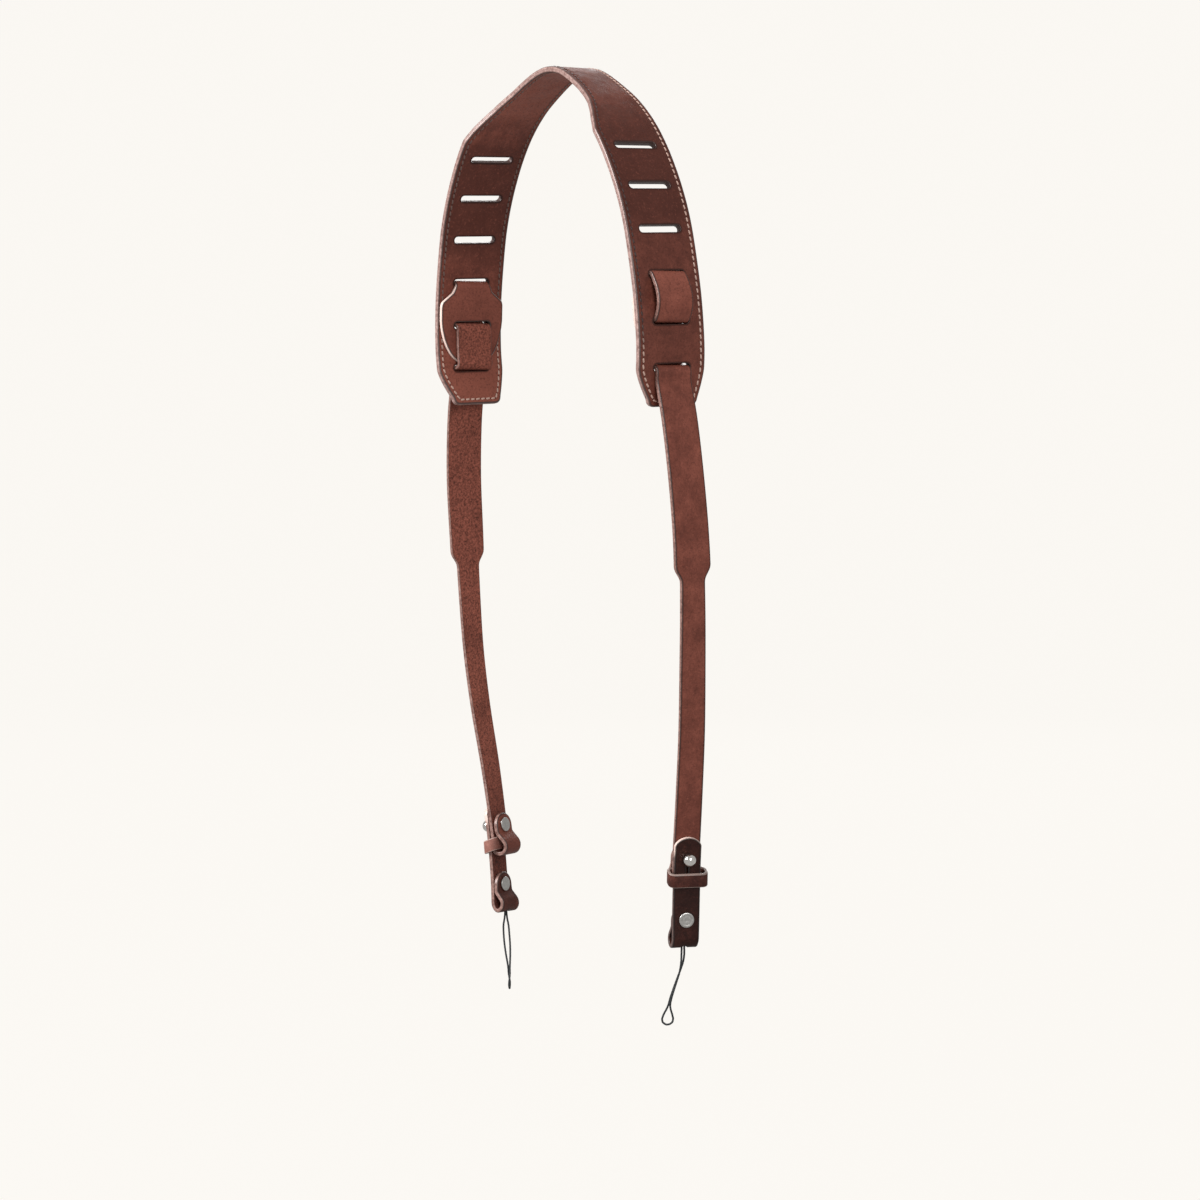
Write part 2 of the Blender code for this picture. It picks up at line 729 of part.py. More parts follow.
def make_keeper(name, finish, mirror):
    """The leather band round the leg and the tab, its front sagging below its back."""
    slope = math.tan(math.radians(KEEPER_TILT_DEG))
    depth = LEG_LEATHER + SEAT_GAP + TAB_LEATHER + KEEPER_PLAY
    width = max(TAB_WIDTH, LEG_NARROW) + 2 * KEEPER_SIDE_PLAY
    middle = (TAB_LIE + TAB_LEATHER / 2 - LEG_LEATHER / 2) / 2
    centre, side, outward = HANGING.at(KEEPER_AT, middle)
    centre = centre + side * KEEPER_ASIDE
    up = np.cross(outward, side)
    wall = 2 * KEEPER_LEATHER
    inner = rounded_rectangle(width, depth, KEEPER_RADIUS)
    outer = rounded_rectangle(width + wall, depth + wall, KEEPER_RADIUS + KEEPER_LEATHER)
    vertices = []
    for outline in (inner, outer):
        for height in (-KEEPER_HEIGHT / 2, KEEPER_HEIGHT / 2):
            for across, out in outline:
                lift = up * (height - out * slope)
                vertices.append(centre + side * across + outward * out + lift)
    count = len(inner)
    faces = []
    for i in range(count):
        j = (i + 1) % count
        faces.append((i, j, count + j, count + i))
        faces.append((2 * count + i, 2 * count + j, 3 * count + j, 3 * count + i))
        faces.append((i, j, 2 * count + j, 2 * count + i))
        faces.append((count + i, count + j, 3 * count + j, 3 * count + i))
    vertices = np.array(vertices)
    if mirror:
        vertices = vertices * MIRROR_X
    return add_object(name, vertices, faces, finish)


def add_rings(name, vertices, sides, finish, mirror):
    """A closed solid from rings of vertices, one ring after another."""
    count = len(vertices) // sides
    faces = [tuple(range(sides)), tuple(range((count - 1) * sides, count * sides))]
    for i in range(count - 1):
        for k in range(sides):
            j = (k + 1) % sides
            faces.append((i * sides + k, i * sides + j, (i + 1) * sides + j, (i + 1) * sides + k))
    if mirror:
        vertices = vertices * MIRROR_X
    return add_object(name, vertices, faces, finish)


def lathe(name, profile, down, finish, mirror, sides=16):
    """A turned solid from (out, radius) rows, its axis square to the hanging leather."""
    centre, side, outward = HANGING.at(down)
    up = np.cross(side, outward)
    vertices = []
    for height, radius in profile:
        for k in range(sides):
            angle = 2 * math.pi * k / sides
            ring = side * math.cos(angle) + up * math.sin(angle)
            vertices.append(centre + outward * height + ring * radius)
    return add_rings(name, np.array(vertices), sides, finish, mirror)


def make_stud(name, finish, mirror):
    """The ball stud: a flat disc inside, a neck through three leathers and a ball outside."""
    disc_top = RETURN_LIE - LEG_LEATHER / 2 - SEAT_GAP
    ball_low = TAB_LIE + TAB_LEATHER / 2
    ball = STUD_BALL / 2
    neck = STUD_NECK / 2
    rim = STUD_DISC / 2
    sunk = math.asin(neck / ball)
    centre = ball_low + ball * math.cos(sunk)
    profile = [
        (disc_top - STUD_DISC_THICK, rim * 0.9),
        (disc_top - STUD_DISC_THICK * 0.7, rim),
        (disc_top, rim * 0.97),
        (disc_top, neck),
        (ball_low, neck),
    ]
    for angle in np.linspace(sunk, math.pi, 7)[1:-1]:
        profile.append((centre - ball * math.cos(angle), ball * math.sin(angle)))
    profile.append((centre + ball * 0.995, ball * 0.1))
    return lathe(name, profile, STUD_AT, finish, mirror)


def make_rivet(name, finish, mirror):
    """The double-cap rivet that closes the cord's loop."""
    cap_low = TAB_LIE + TAB_LEATHER / 2 + SEAT_GAP
    back_top = TAB_LIE - TAB_LEATHER * 1.5 - 2 * SEAT_GAP
    rim = RIVET_CAP / 2
    shank = RIVET_SHANK / 2
    profile = [
        (back_top - RIVET_CAP_THICK, rim * 0.9),
        (back_top - RIVET_CAP_THICK * 0.6, rim),
        (back_top, rim * 0.97),
        (back_top, shank),
        (cap_low, shank),
        (cap_low, rim * 0.97),
        (cap_low + RIVET_CAP_THICK * 0.6, rim),
        (cap_low + RIVET_CAP_THICK, rim * 0.86),
    ]
    return lathe(name, profile, RIVET_AT, finish, mirror)


def loop_eye():
    """The middle of the cord's hole on the outside of the loop's bottom."""
    return HANGING.at(LOOP_BOTTOM_AT, TAB_LIE - LOOP_BULGE / 2)[0]


def knot_middle():
    """The middle of the knot, above the leather at the bottom of the loop."""
    return loop_eye() + np.array([0.0, 0.0, TAB_LEATHER + KNOT_ABOVE_LEATHER])


def cord_route():
    """The right cord: down one strand, round the bend and up the other."""
    lean_way = math.radians(CORD_LEAN_WAY_DEG)
    sway = np.array([math.cos(lean_way), math.sin(lean_way), 0.0])
    tuck = knot_middle()[2] - KNOT_DIAMETER / 2 - SEAT_GAP - loop_eye()[2]
    rows = [(-tuck / CORD_DROP, 0.0, CORD[0][2], 0.0), *CORD]
    down_strand, up_strand = [], []
    for down, lean, opened, turned in rows:
        middle = loop_eye() + sway * lean * CORD_LEAN
        middle[2] -= down * CORD_DROP
        turn = math.radians(CORD_TURN_FROM_DEG + turned * CORD_TURN_DEG)
        across = np.array([math.cos(turn), math.sin(turn), 0.0]) * opened * CORD_OPEN / 2
        down_strand.append(middle + across)
        up_strand.append(middle - across)
    lowest = loop_eye() + sway * CORD_LEAN
    lowest[2] -= CORD_DROP
    return spline(down_strand + [lowest] + up_strand[::-1], 10)


def make_cord(name, finish, mirror):
    """The thin cord loop that ties the fitting to a lug."""
    route = cord_route()
    along = lengths_of(route)
    count = round(along[-1] / (2 * CORD_DIAMETER))
    places = np.linspace(0, along[-1], count + 1)
    points = [[np.interp(place, along, route[:, k]) for k in range(3)] for place in places]
    curve = bpy.data.curves.new(name, "CURVE")
    curve.dimensions = "3D"
    curve.bevel_depth = CORD_DIAMETER / 2
    curve.bevel_resolution = 2
    curve.render_resolution_u = 0
    curve.use_fill_caps = True
    run = curve.splines.new("POLY")
    run.points.add(len(points) - 1)
    for spot, point in zip(run.points, points):
        place = np.array(point) * (MIRROR_X if mirror else 1.0)
        spot.co = (*place, 1.0)
    curve.materials.append(finish)
    made = bpy.data.objects.new(name, curve)
    bpy.context.scene.collection.objects.link(made)
    return made


def make_knot(name, finish, mirror):
    """The cord's stopper knot in the loop's eye, as one plain round piece."""
    radius = KNOT_DIAMETER / 2
    vertices = []
    sides = 12
    heights = np.radians((-75, -45, -15, 15, 45, 75))
    for angle in heights:
        for k in range(sides):
            way = 2 * math.pi * k / sides
            reach = radius * math.cos(angle)
            ring = (reach * math.cos(way), reach * math.sin(way), radius * math.sin(angle))
            vertices.append(knot_middle() + np.array(ring))
    return add_rings(name, np.array(vertices), sides, finish, mirror)


def build():
    """Every piece of the strap: the pad once, and the rest once a side."""
    for old in list(bpy.data.objects):
        bpy.data.objects.remove(old, do_unlink=True)
    grain = material("pad leather", (0.16, 0.055, 0.04), 0.5)
    lining = material("lining leather", (0.2, 0.075, 0.055), 0.55)
    strap = material("strap leather", (0.19, 0.065, 0.045), 0.55)
    fitting = material("fitting leather", (0.13, 0.04, 0.03), 0.45)
    nickel = material("nickel", (0.75, 0.73, 0.7), 0.25, 1.0)
    black_cord = material("black cord", (0.02, 0.025, 0.027), 0.7)

    pattern = pad_pattern()
    rows = pad_stations()
    bend_sheet("pad_outer", PAD, pattern, rows, SEAT_GAP / 2, PAD_THICK / 2, grain)
    bend_sheet("pad_lining", PAD, pattern, rows, -PAD_THICK / 2, -SEAT_GAP / 2, lining)
    for side, mirror in (("left", True), ("right", False)):
        make_leg(side + "_leg_strap", strap, mirror)
        make_tab(side + "_end_tab", fitting, mirror)
        make_keeper(side + "_keeper", fitting, mirror)
        make_stud(side + "_ball_stud", nickel, mirror)
        make_rivet(side + "_loop_rivet", nickel, mirror)
        make_cord(side + "_cord", black_cord, mirror)
        make_knot(side + "_cord_knot", black_cord, mirror)


build()
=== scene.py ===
"""Dresses the camera neck strap: sewn pad leather, woven straps, nickel fittings and thin cords."""

import logging
import math
from collections.abc import Callable, Sequence
from dataclasses import dataclass, field
from enum import Enum

import bpy
import numpy as np
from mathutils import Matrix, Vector
from mathutils.geometry import delaunay_2d_cdt


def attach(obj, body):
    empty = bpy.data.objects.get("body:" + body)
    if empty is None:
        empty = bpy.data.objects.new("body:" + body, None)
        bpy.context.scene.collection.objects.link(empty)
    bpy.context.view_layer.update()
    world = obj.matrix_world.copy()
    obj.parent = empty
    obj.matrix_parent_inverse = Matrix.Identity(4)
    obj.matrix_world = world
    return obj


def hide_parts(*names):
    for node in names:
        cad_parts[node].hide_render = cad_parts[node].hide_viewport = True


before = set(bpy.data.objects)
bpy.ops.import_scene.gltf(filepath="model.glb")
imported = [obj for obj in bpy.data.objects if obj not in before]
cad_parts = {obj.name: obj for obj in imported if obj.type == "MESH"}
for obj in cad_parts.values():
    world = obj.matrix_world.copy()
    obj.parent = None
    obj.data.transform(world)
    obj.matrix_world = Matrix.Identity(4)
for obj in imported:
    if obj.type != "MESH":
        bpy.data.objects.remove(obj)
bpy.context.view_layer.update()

MM = 0.001
Colour = tuple[float, float, float]
Noise = tuple[float, float, float]
Span = tuple[float, float, float, float]
Socket = bpy.types.NodeSocket
log = logging.getLogger("strap")


class Side(Enum):
    """Which half of the strap a piece is on."""

    LEFT = "left"
    RIGHT = "right"


class Surface(Enum):
    """The kinds of surface that one leather piece has, as its material slots are numbered."""

    GRAIN = 0
    FLESH = 1
    EDGE = 2


class Layer(Enum):
    """The two leathers of the shoulder pad."""

    OUTER = "pad_outer"
    LINING = "pad_lining"


# Materials. A noise is (features in each metre, octaves, strength of the finer ones), and a
# span is (low value, high value, result at low, result at high).


def scaled(colour: Colour, share: float) -> Colour:
    """A colour made darker or lighter by a factor."""
    return tuple(share * part for part in colour)


class Graph:
    """A material's node tree, with short calls to add nodes and join them."""

    ROUGH_FROM = (0.3, 0.7)

    def __init__(self, name: str) -> None:
        """Starts a material that has only a Principled shader.

        Args:
            name: the material's name.
        """
        self.material = bpy.data.materials.new(name)
        self.material.use_nodes = True
        self.tree = self.material.node_tree
        self.shader = self.tree.nodes["Principled BSDF"]
        self.place = self.add("ShaderNodeTexCoord").outputs["Object"]

    def add(self, kind: str, **settings: object) -> bpy.types.Node:
        """A new node.

        Args:
            kind: the node's type.
            **settings: the node's own settings.

        Returns:
            The node.
        """
        node = self.tree.nodes.new(kind)
        for name, value in settings.items():
            setattr(node, name, value)
        return node

    def join(self, source: Socket, target: Socket) -> None:
        """Links one socket to another."""
        self.tree.links.new(source, target)

    def noise(self, scale: float, detail: float, rough: float = 0.55) -> Socket:
        """A noise's value over the object.

        Args:
            scale: features in each metre.
            detail: octaves.
            rough: how strong the finer octaves are.

        Returns:
            The noise's value.
        """
        node = self.add("ShaderNodeTexNoise")
        for name, value in (("Scale", scale), ("Detail", detail), ("Roughness", rough)):
            node.inputs[name].default_value = value
        self.join(self.place, node.inputs["Vector"])
        return node.outputs[0]

    def cells(self, scale: float) -> Socket:
        """The distance inside a field of cells, for pores and fibres.

        Args:
            scale: cells in each metre.

        Returns:
            The distance.
        """
        node = self.add("ShaderNodeTexVoronoi")
        node.inputs["Scale"].default_value = scale
        self.join(self.place, node.inputs["Vector"])
        return node.outputs["Distance"]

    def span(self, source: Socket, span: Span) -> Socket:
        """Maps a value from one range to another, held at both ends.

        Args:
            source: the value.
            span: the two values and the result at each.

        Returns:
            The mapped value.
        """
        node = self.add("ShaderNodeMapRange", interpolation_type="SMOOTHSTEP")
        for socket, value in zip(node.inputs[1:5], span):
            socket.default_value = value
        self.join(source, node.inputs[0])
        return node.outputs[0]

    def ramp(self, source: Socket, stops: Sequence[tuple[float, Colour]]) -> Socket:
        """Colours a value.

        Args:
            source: the value.
            stops: the colour at each place from 0 to 1.

        Returns:
            The colour.
        """
        node = self.add("ShaderNodeValToRGB")
        elements = node.color_ramp.elements
        elements[0].position, elements[1].position = stops[0][0], stops[-1][0]
        for place, _ in stops[1:-1]:
            elements.new(place)
        for element, (_, colour) in zip(elements, stops):
            element.color = (*colour, 1.0)
        self.join(source, node.inputs[0])
        return node.outputs[0]

    def cover(self, colour: Socket, source: Socket, span: Span, tint: Colour) -> Socket:
        """Lays a tint over a colour, as much as a value says.

        Args:
            colour: the colour below.
            source: the value.
            span: the value's range and the tint's share at each end.
            tint: the colour laid over.

        Returns:
            The mixed colour.
        """
        node = self.add("ShaderNodeMix", data_type="RGBA")
        self.join(self.span(source, span), node.inputs[0])
        self.join(colour, node.inputs[6])
        node.inputs[7].default_value = (*tint, 1.0)
        return node.outputs[2]

    def attribute(self, name: str) -> Socket:
        """A number that the mesh keeps at each vertex."""
        return self.add("ShaderNodeAttribute", attribute_name=name).outputs["Fac"]

    def bump(self, heights: Sequence[tuple[Socket, float]]) -> None:
        """Chains bumps into the shader's normal.

        Args:
            heights: each bump's height from 0 to 1 and its depth in metres.
        """
        normal = None
        for height, depth in heights:
            node = self.add("ShaderNodeBump")
            node.inputs["Distance"].default_value = depth
            self.join(height, node.inputs["Height"])
            if normal is not None:
                self.join(normal, node.inputs["Normal"])
            normal = node.outputs[0]
        self.join(normal, self.shader.inputs["Normal"])

    def plain(self, **sockets: object) -> bpy.types.Material:
        """Sets the shader's own sockets.

        Args:
            **sockets: each socket's name, with _ for a space, and its value.

        Returns:
            The material.
        """
        for name, value in sockets.items():
            self.shader.inputs[name.replace("_", " ")].default_value = value
        return self.material

    def finish(
        self, colour: Socket, grain: Socket, rough: tuple[float, float], **sockets: object
    ) -> bpy.types.Material:
        """Gives the shader its colour and roughness.

        Args:
            colour: the base colour.
            grain: the value that the roughness follows.
            rough: the roughness where that value is low and where it is high.
            **sockets: the shader's other values.

        Returns:
            The material.
        """
        self.join(colour, self.shader.inputs["Base Color"])
        span = self.span(grain, (*self.ROUGH_FROM, *rough))
        self.join(span, self.shader.inputs["Roughness"])
        return self.plain(**sockets)


@dataclass(frozen=True)
class GrainFinish:
    """The smooth side of dyed leather: mottled, with fine pores, lighter and darker along its
    length as painted light and shade, darker near its cut edge as painted shade and darker dye, and
    darker round its slots as painted shade and pressed leather.
    """

    name: str
    dark: Colour
    middle: Colour
    light: Colour
    rough: tuple[float, float] = (0.40, 0.56)
    shine: float = 0.16
    # Share of the dark colour used for the painted shade near the cut edge and round the slots.
    pressed_and_shaded_share: float = 0.3
    mottle: Noise = (90.0, 6.0, 0.72)
    mottle_stops: tuple[float, ...] = (0.22, 0.50, 0.80)
    # Painted shade where the tone number is below 0.5 and painted light where it is above.
    painted_shade_span: Span = (0.0, 0.5, 0.92, 0.0)
    painted_light_span: Span = (0.5, 1.0, 0.0, 0.9)
    specks: Noise = (760.0, 4.0, 0.8)
    speck_span: Span = (0.48, 0.66, 0.0, 0.62)
    wear: Noise = (560.0, 4.0, 0.8)
    wear_span: Span = (0.53, 0.70, 0.0, 0.55)
    # Painted shade with darker dye near the cut edge, and painted shade with pressed leather round
    # the slots.
    rim_mm: Span = (0.5, 1.5, 0.8, 0.0)
    pressed_and_shaded_mm: Span = (0.2, 1.7, 0.9, 0.0)
    creases: Noise = (420.0, 4.0, 0.55)
    pores: float = 1500.0
    haze: Noise = (3600.0, 2.0, 0.55)
    depths: tuple[float, ...] = (0.00016, 0.00007, 0.00002)
    patches: Noise = (140.0, 4.0, 0.55)

    def material(self) -> bpy.types.Material:
        """Builds the leather's grain side.

        Returns:
            The material.
        """
        graph = Graph(self.name)
        deep = scaled(self.dark, self.pressed_and_shaded_share)
        stops = list(zip(self.mottle_stops, (self.dark, self.middle, self.light)))
        colour = graph.ramp(graph.noise(*self.mottle), stops)
        # Painted light and shade along the piece, and painted shade at the cut edge and the slots,
        # are laid over the mottle here.
        tone = graph.attribute("tone")
        for source, span, tint in (
            (tone, self.painted_shade_span, self.dark),
            (tone, self.painted_light_span, self.light),
            (graph.noise(*self.specks), self.speck_span, self.dark),
            (graph.noise(*self.wear), self.wear_span, self.light),
            (graph.attribute("edge_mm"), self.rim_mm, deep),
            (graph.attribute("hole_mm"), self.pressed_and_shaded_mm, deep),
        ):
            colour = graph.cover(colour, source, span, tint)
        reliefs = graph.noise(*self.creases), graph.cells(self.pores), graph.noise(*self.haze)
        graph.bump(list(zip(reliefs, self.depths)))
        patches = graph.noise(*self.patches)
        return graph.finish(colour, patches, self.rough, Specular_IOR_Level=self.shine)


@dataclass(frozen=True)
class FleshFinish:
    """The rough inner side of leather, with short raised fibres, darker along its length as painted
    shade and darker near its cut edge as painted shade and darker dye.
    """

    name: str
    dark: Colour
    light: Colour
    rough: tuple[float, float] = (0.78, 0.95)
    shine: float = 0.2
    edge_share: float = 0.5
    fibres: Noise = (760.0, 6.0, 0.75)
    fibre_stops: tuple[float, ...] = (0.34, 0.62)
    patches: Noise = (60.0, 3.0, 0.55)
    nap: Noise = (700.0, 5.0, 0.7)
    pores: float = 2600.0
    depths: tuple[float, ...] = (0.0005, 0.00012)
    patch_span: Span = (0.45, 0.75, 0.0, 0.35)
    # Painted shade along the leather, and painted shade with darker dye near the cut edge.
    painted_shade_span: Span = (0.0, 0.5, 0.8, 0.0)
    rim_mm: Span = (0.2, 1.0, 0.5, 0.0)

    def material(self) -> bpy.types.Material:
        """Builds the leather's flesh side.

        Returns:
            The material.
        """
        graph = Graph(self.name)
        fibres = graph.noise(*self.fibres)
        colour = graph.ramp(fibres, list(zip(self.fibre_stops, (self.dark, self.light))))
        # Painted shade along the piece and near the cut edge is laid over the fibres here.
        for source, span, tint in (
            (graph.noise(*self.patches), self.patch_span, self.dark),
            (graph.attribute("tone"), self.painted_shade_span, self.dark),
            (graph.attribute("edge_mm"), self.rim_mm, scaled(self.dark, self.edge_share)),
        ):
            colour = graph.cover(colour, source, span, tint)
        reliefs = graph.noise(*self.nap), graph.cells(self.pores)
        graph.bump(list(zip(reliefs, self.depths)))
        return graph.finish(colour, fibres, self.rough, Specular_IOR_Level=self.shine)


@dataclass(frozen=True)
class EdgeFinish:
    """A cut edge, rubbed smooth: paler in its middle, darker at its corners where it turns into the
    face as painted shade and darker dye, and darker inside holes and slots as painted shade.
    """

    name: str
    dark: Colour
    light: Colour
    bare: Colour = (0.66, 0.50, 0.44)
    rough: tuple[float, float] = (0.30, 0.48)
    # Share of the dark colour used for the painted shade at the corners and inside holes.
    corner_share: float = 0.35
    streaks: Noise = (520.0, 4.0, 0.65)
    streak_stops: tuple[float, ...] = (0.30, 0.66)
    wear: Noise = (48.0, 3.0, 0.55)
    fine: Noise = (1300.0, 3.0, 0.55)
    depth: float = 0.00006
    worn_span: Span = (0.5, 0.8, 0.0, 0.45)
    bare_span: Span = (0.0, 1.0, 0.0, 0.95)
    # Painted shade with darker dye at the corners, and painted shade on the walls of holes and
    # slots.
    corner_span: Span = (0.15, 0.7, 0.0, 0.9)
    hole_mm: Span = (0.05, 0.5, 0.92, 0.0)

    def material(self) -> bpy.types.Material:
        """Builds the burnished edge.

        Returns:
            The material.
        """
        graph = Graph(self.name)
        # The colour of the painted shade at the corners and inside holes, laid over the streaks
        # below.
        deep = scaled(self.dark, self.corner_share)
        streaks = graph.noise(*self.streaks)
        colour = graph.ramp(streaks, list(zip(self.streak_stops, (self.dark, self.light))))
        for source, span, tint in (
            (graph.noise(*self.wear), self.worn_span, self.dark),
            (graph.attribute("bare"), self.bare_span, self.bare),
            (graph.attribute("rim"), self.corner_span, deep),
            (graph.attribute("hole_mm"), self.hole_mm, deep),
        ):
            colour = graph.cover(colour, source, span, tint)
        graph.bump(((graph.noise(*self.fine), self.depth),))
        return graph.finish(colour, streaks, self.rough)


@dataclass(frozen=True)
class MetalFinish:
    """Nickel plate, polished or brushed."""

    name: str
    colour: Colour
    rough: tuple[float, float]
    scratch_depth: float
    dull_share: float = 0.82

    def material(self) -> bpy.types.Material:
        """Builds the metal.

        Returns:
            The material.
        """
        graph = Graph(self.name)
        stops = ((0.35, scaled(self.colour, self.dull_share)), (0.6, self.colour))
        colour = graph.ramp(graph.noise(700.0, 4.0), stops)
        graph.bump(((graph.noise(3000.0, 3.0), self.scratch_depth),))
        return graph.finish(colour, graph.noise(2600.0, 3.0), self.rough, Metallic=1.0)


@dataclass(frozen=True)
class ThreadFinish:
    """Waxed thread or braided cord, with fine fibres, and darker where painted shade is laid on it.
    """

    name: str
    dark: Colour
    light: Colour
    rough: tuple[float, float]
    # The colour of the painted shade, laid on as much as the sunk number says.
    sunk: Colour = (0.040, 0.013, 0.010)
    sheen: float = 0.04

    def material(self) -> bpy.types.Material:
        """Builds the thread.

        Returns:
            The material.
        """
        graph = Graph(self.name)
        fibres = graph.noise(4200.0, 3.0, 0.6)
        colour = graph.ramp(fibres, ((0.3, self.dark), (0.7, self.light)))
        # Painted shade from the sunk number.
        colour = graph.cover(colour, graph.attribute("sunk"), (0.0, 1.0, 0.0, 1.0), self.sunk)
        graph.bump(((fibres, 0.00005),))
        return graph.finish(colour, fibres, self.rough, Sheen_Weight=self.sheen)


@dataclass(frozen=True)
class HoleFinish:
    """The shade at the bottom of a stitch hole."""

    name: str = "painted shade of a pricked hole"
    colour: Colour = (0.012, 0.006, 0.005)
    rough: tuple[float, float] = (0.85, 0.95)

    def material(self) -> bpy.types.Material:
        """Builds the painted shade of a hole.

        Returns:
            The material.
        """
        graph = Graph(self.name)
        specks = graph.noise(3000.0, 2.0)
        colour = graph.ramp(specks, ((0.3, scaled(self.colour, 0.5)), (0.7, self.colour)))
        return graph.finish(colour, specks, self.rough)


class EdgeTone(Enum):
    """The dark and the light tone of a cut edge."""

    MAUVE = ((0.125, 0.060, 0.050), (0.34, 0.22, 0.195))
    BROWN = ((0.075, 0.030, 0.023), (0.26, 0.145, 0.12))
    # BLACK is the edge of the right fitting and keeper: darker dye and painted shade.
    BLACK = ((0.020, 0.008, 0.006), (0.075, 0.034, 0.027))


@dataclass(frozen=True)
class Tones:
    """The colours of one leather."""

    dark: Colour
    middle: Colour
    light: Colour
    edge: EdgeTone
    flesh_dark: float = 0.62
    flesh_light: float = 1.35

    def materials(self, name: str) -> list[bpy.types.Material]:
        """Builds the grain, flesh and edge, in the order of Surface.

        Args:
            name: the leather's name.

        Returns:
            The three materials.
        """
        flesh = scaled(self.dark, self.flesh_dark), scaled(self.light, self.flesh_light)
        return [
            GrainFinish(name + " grain", self.dark, self.middle, self.light).material(),
            FleshFinish(name + " flesh", *flesh).material(),
            EdgeFinish(name + " edge", *self.edge.value).material(),
        ]


class Finishes:
    """Every material of the strap, built once."""

    LEATHERS = {
        "pad": Tones(
            (0.062, 0.0170, 0.0112), (0.122, 0.0350, 0.0232), (0.205, 0.0620, 0.0415),
            EdgeTone.MAUVE,
        ),
        "lining": Tones(
            (0.078, 0.0215, 0.0144), (0.165, 0.0475, 0.0318), (0.300, 0.0930, 0.0620),
            EdgeTone.MAUVE,
        ),
        "strap": Tones(
            (0.090, 0.0250, 0.0168), (0.182, 0.0535, 0.0360), (0.290, 0.0900, 0.0610),
            EdgeTone.BROWN,
        ),
        # Both fittings are a darker dye than the strap; the left copy is lighter as painted light
        # and the right copy darker as painted shade.
        "left fitting": Tones(
            (0.030, 0.0084, 0.0058), (0.062, 0.0175, 0.0120), (0.140, 0.042, 0.029),
            EdgeTone.BROWN,
        ),
        "right fitting": Tones(
            (0.012, 0.0034, 0.0024), (0.026, 0.0072, 0.0050), (0.070, 0.0205, 0.0140),
            EdgeTone.BLACK,
        ),
        # The left keeper's copy is lighter as painted light and the right keeper's copy darker as
        # painted shade.
        "left keeper": Tones(
            (0.130, 0.052, 0.040), (0.230, 0.100, 0.079), (0.33, 0.15, 0.12), EdgeTone.BROWN
        ),
        "right keeper": Tones(
            (0.020, 0.0058, 0.0040), (0.044, 0.0128, 0.0090), (0.120, 0.036, 0.025),
            EdgeTone.BLACK,
        ),
    }

    def __init__(self) -> None:
        """Builds the strap's materials."""
        self.leather = {name: tones.materials(name) for name, tones in self.LEATHERS.items()}
        self.nickel = [
            MetalFinish("polished nickel", (0.80, 0.78, 0.75), (0.072, 0.1125), 4e-6).material(),
            MetalFinish("brushed nickel", (0.52, 0.51, 0.49), (0.272, 0.425), 2e-5).material(),
        ]
        thread = ThreadFinish("waxed thread", (0.36, 0.20, 0.155), (0.66, 0.46, 0.38), (0.42, 0.6))
        black, worn = (0.003, 0.0042, 0.005), (0.01, 0.0135, 0.0155)
        cord = ThreadFinish("black cord", black, worn, (0.67, 0.85))
        self.thread, self.cord = [thread.material()], [cord.material()]
        self.hole = [HoleFinish().material()]


# Curves and outlines


CHUNK = 3000
LEAST_MITRE = 0.6
SLOT_SIDE_STEP = 0.0015
SLOT_END_STEPS = 8
HOLE_STEPS = 20


def spline(points: Sequence, steps: int) -> np.ndarray:
    """Points along a smooth curve that passes through every given point.

    Args:
        points: the points to pass through.
        steps: how many points each stretch gets.

    Returns:
        The curve's points, one row each.
    """
    knots = np.asarray(points, float)
    padded = np.vstack([2 * knots[0] - knots[1], knots, 2 * knots[-1] - knots[-2]])
    made = []
    for i in range(1, len(padded) - 2):
        a, b, c, d = padded[i - 1 : i + 3]
        for t in np.linspace(0, 1, steps, endpoint=False):
            bend = (2 * a - 5 * b + 4 * c - d) * t**2 + (3 * b - a - 3 * c + d) * t**3
            made.append(0.5 * (2 * b + (c - a) * t + bend))
    return np.array([*made, knots[-1]])


def lengths_of(points: np.ndarray) -> np.ndarray:
    """The length along a run of points, at each point."""
    return np.concatenate([[0.0], np.cumsum(np.linalg.norm(np.diff(points, axis=0), axis=1))])


def unit(vectors: np.ndarray) -> np.ndarray:
    """Vectors, or rows of them, made one long."""
    return vectors / np.linalg.norm(vectors, axis=-1, keepdims=True)


def rows_at(places: np.ndarray, along: np.ndarray, rows: np.ndarray) -> np.ndarray:
    """Rows of numbers read at places along a run."""
    return np.stack([np.interp(places, along, column) for column in rows.T], axis=-1)


def spread(low: float, high: float, step: float) -> list[float]:
    """Evenly spaced distances from low to high, about a step apart."""
    return list(np.linspace(low, high, max(1, round((high - low) / step)) + 1))


def arc(centre: tuple, radius: float, start: float, end: float, steps: int) -> list[tuple]:
    """Points of an arc between two angles in degrees, in a plane of two coordinates."""
    angles = np.radians(np.linspace(start, end, steps + 1))
    return [(centre[0] + radius * math.cos(a), centre[1] + radius * math.sin(a)) for a in angles]


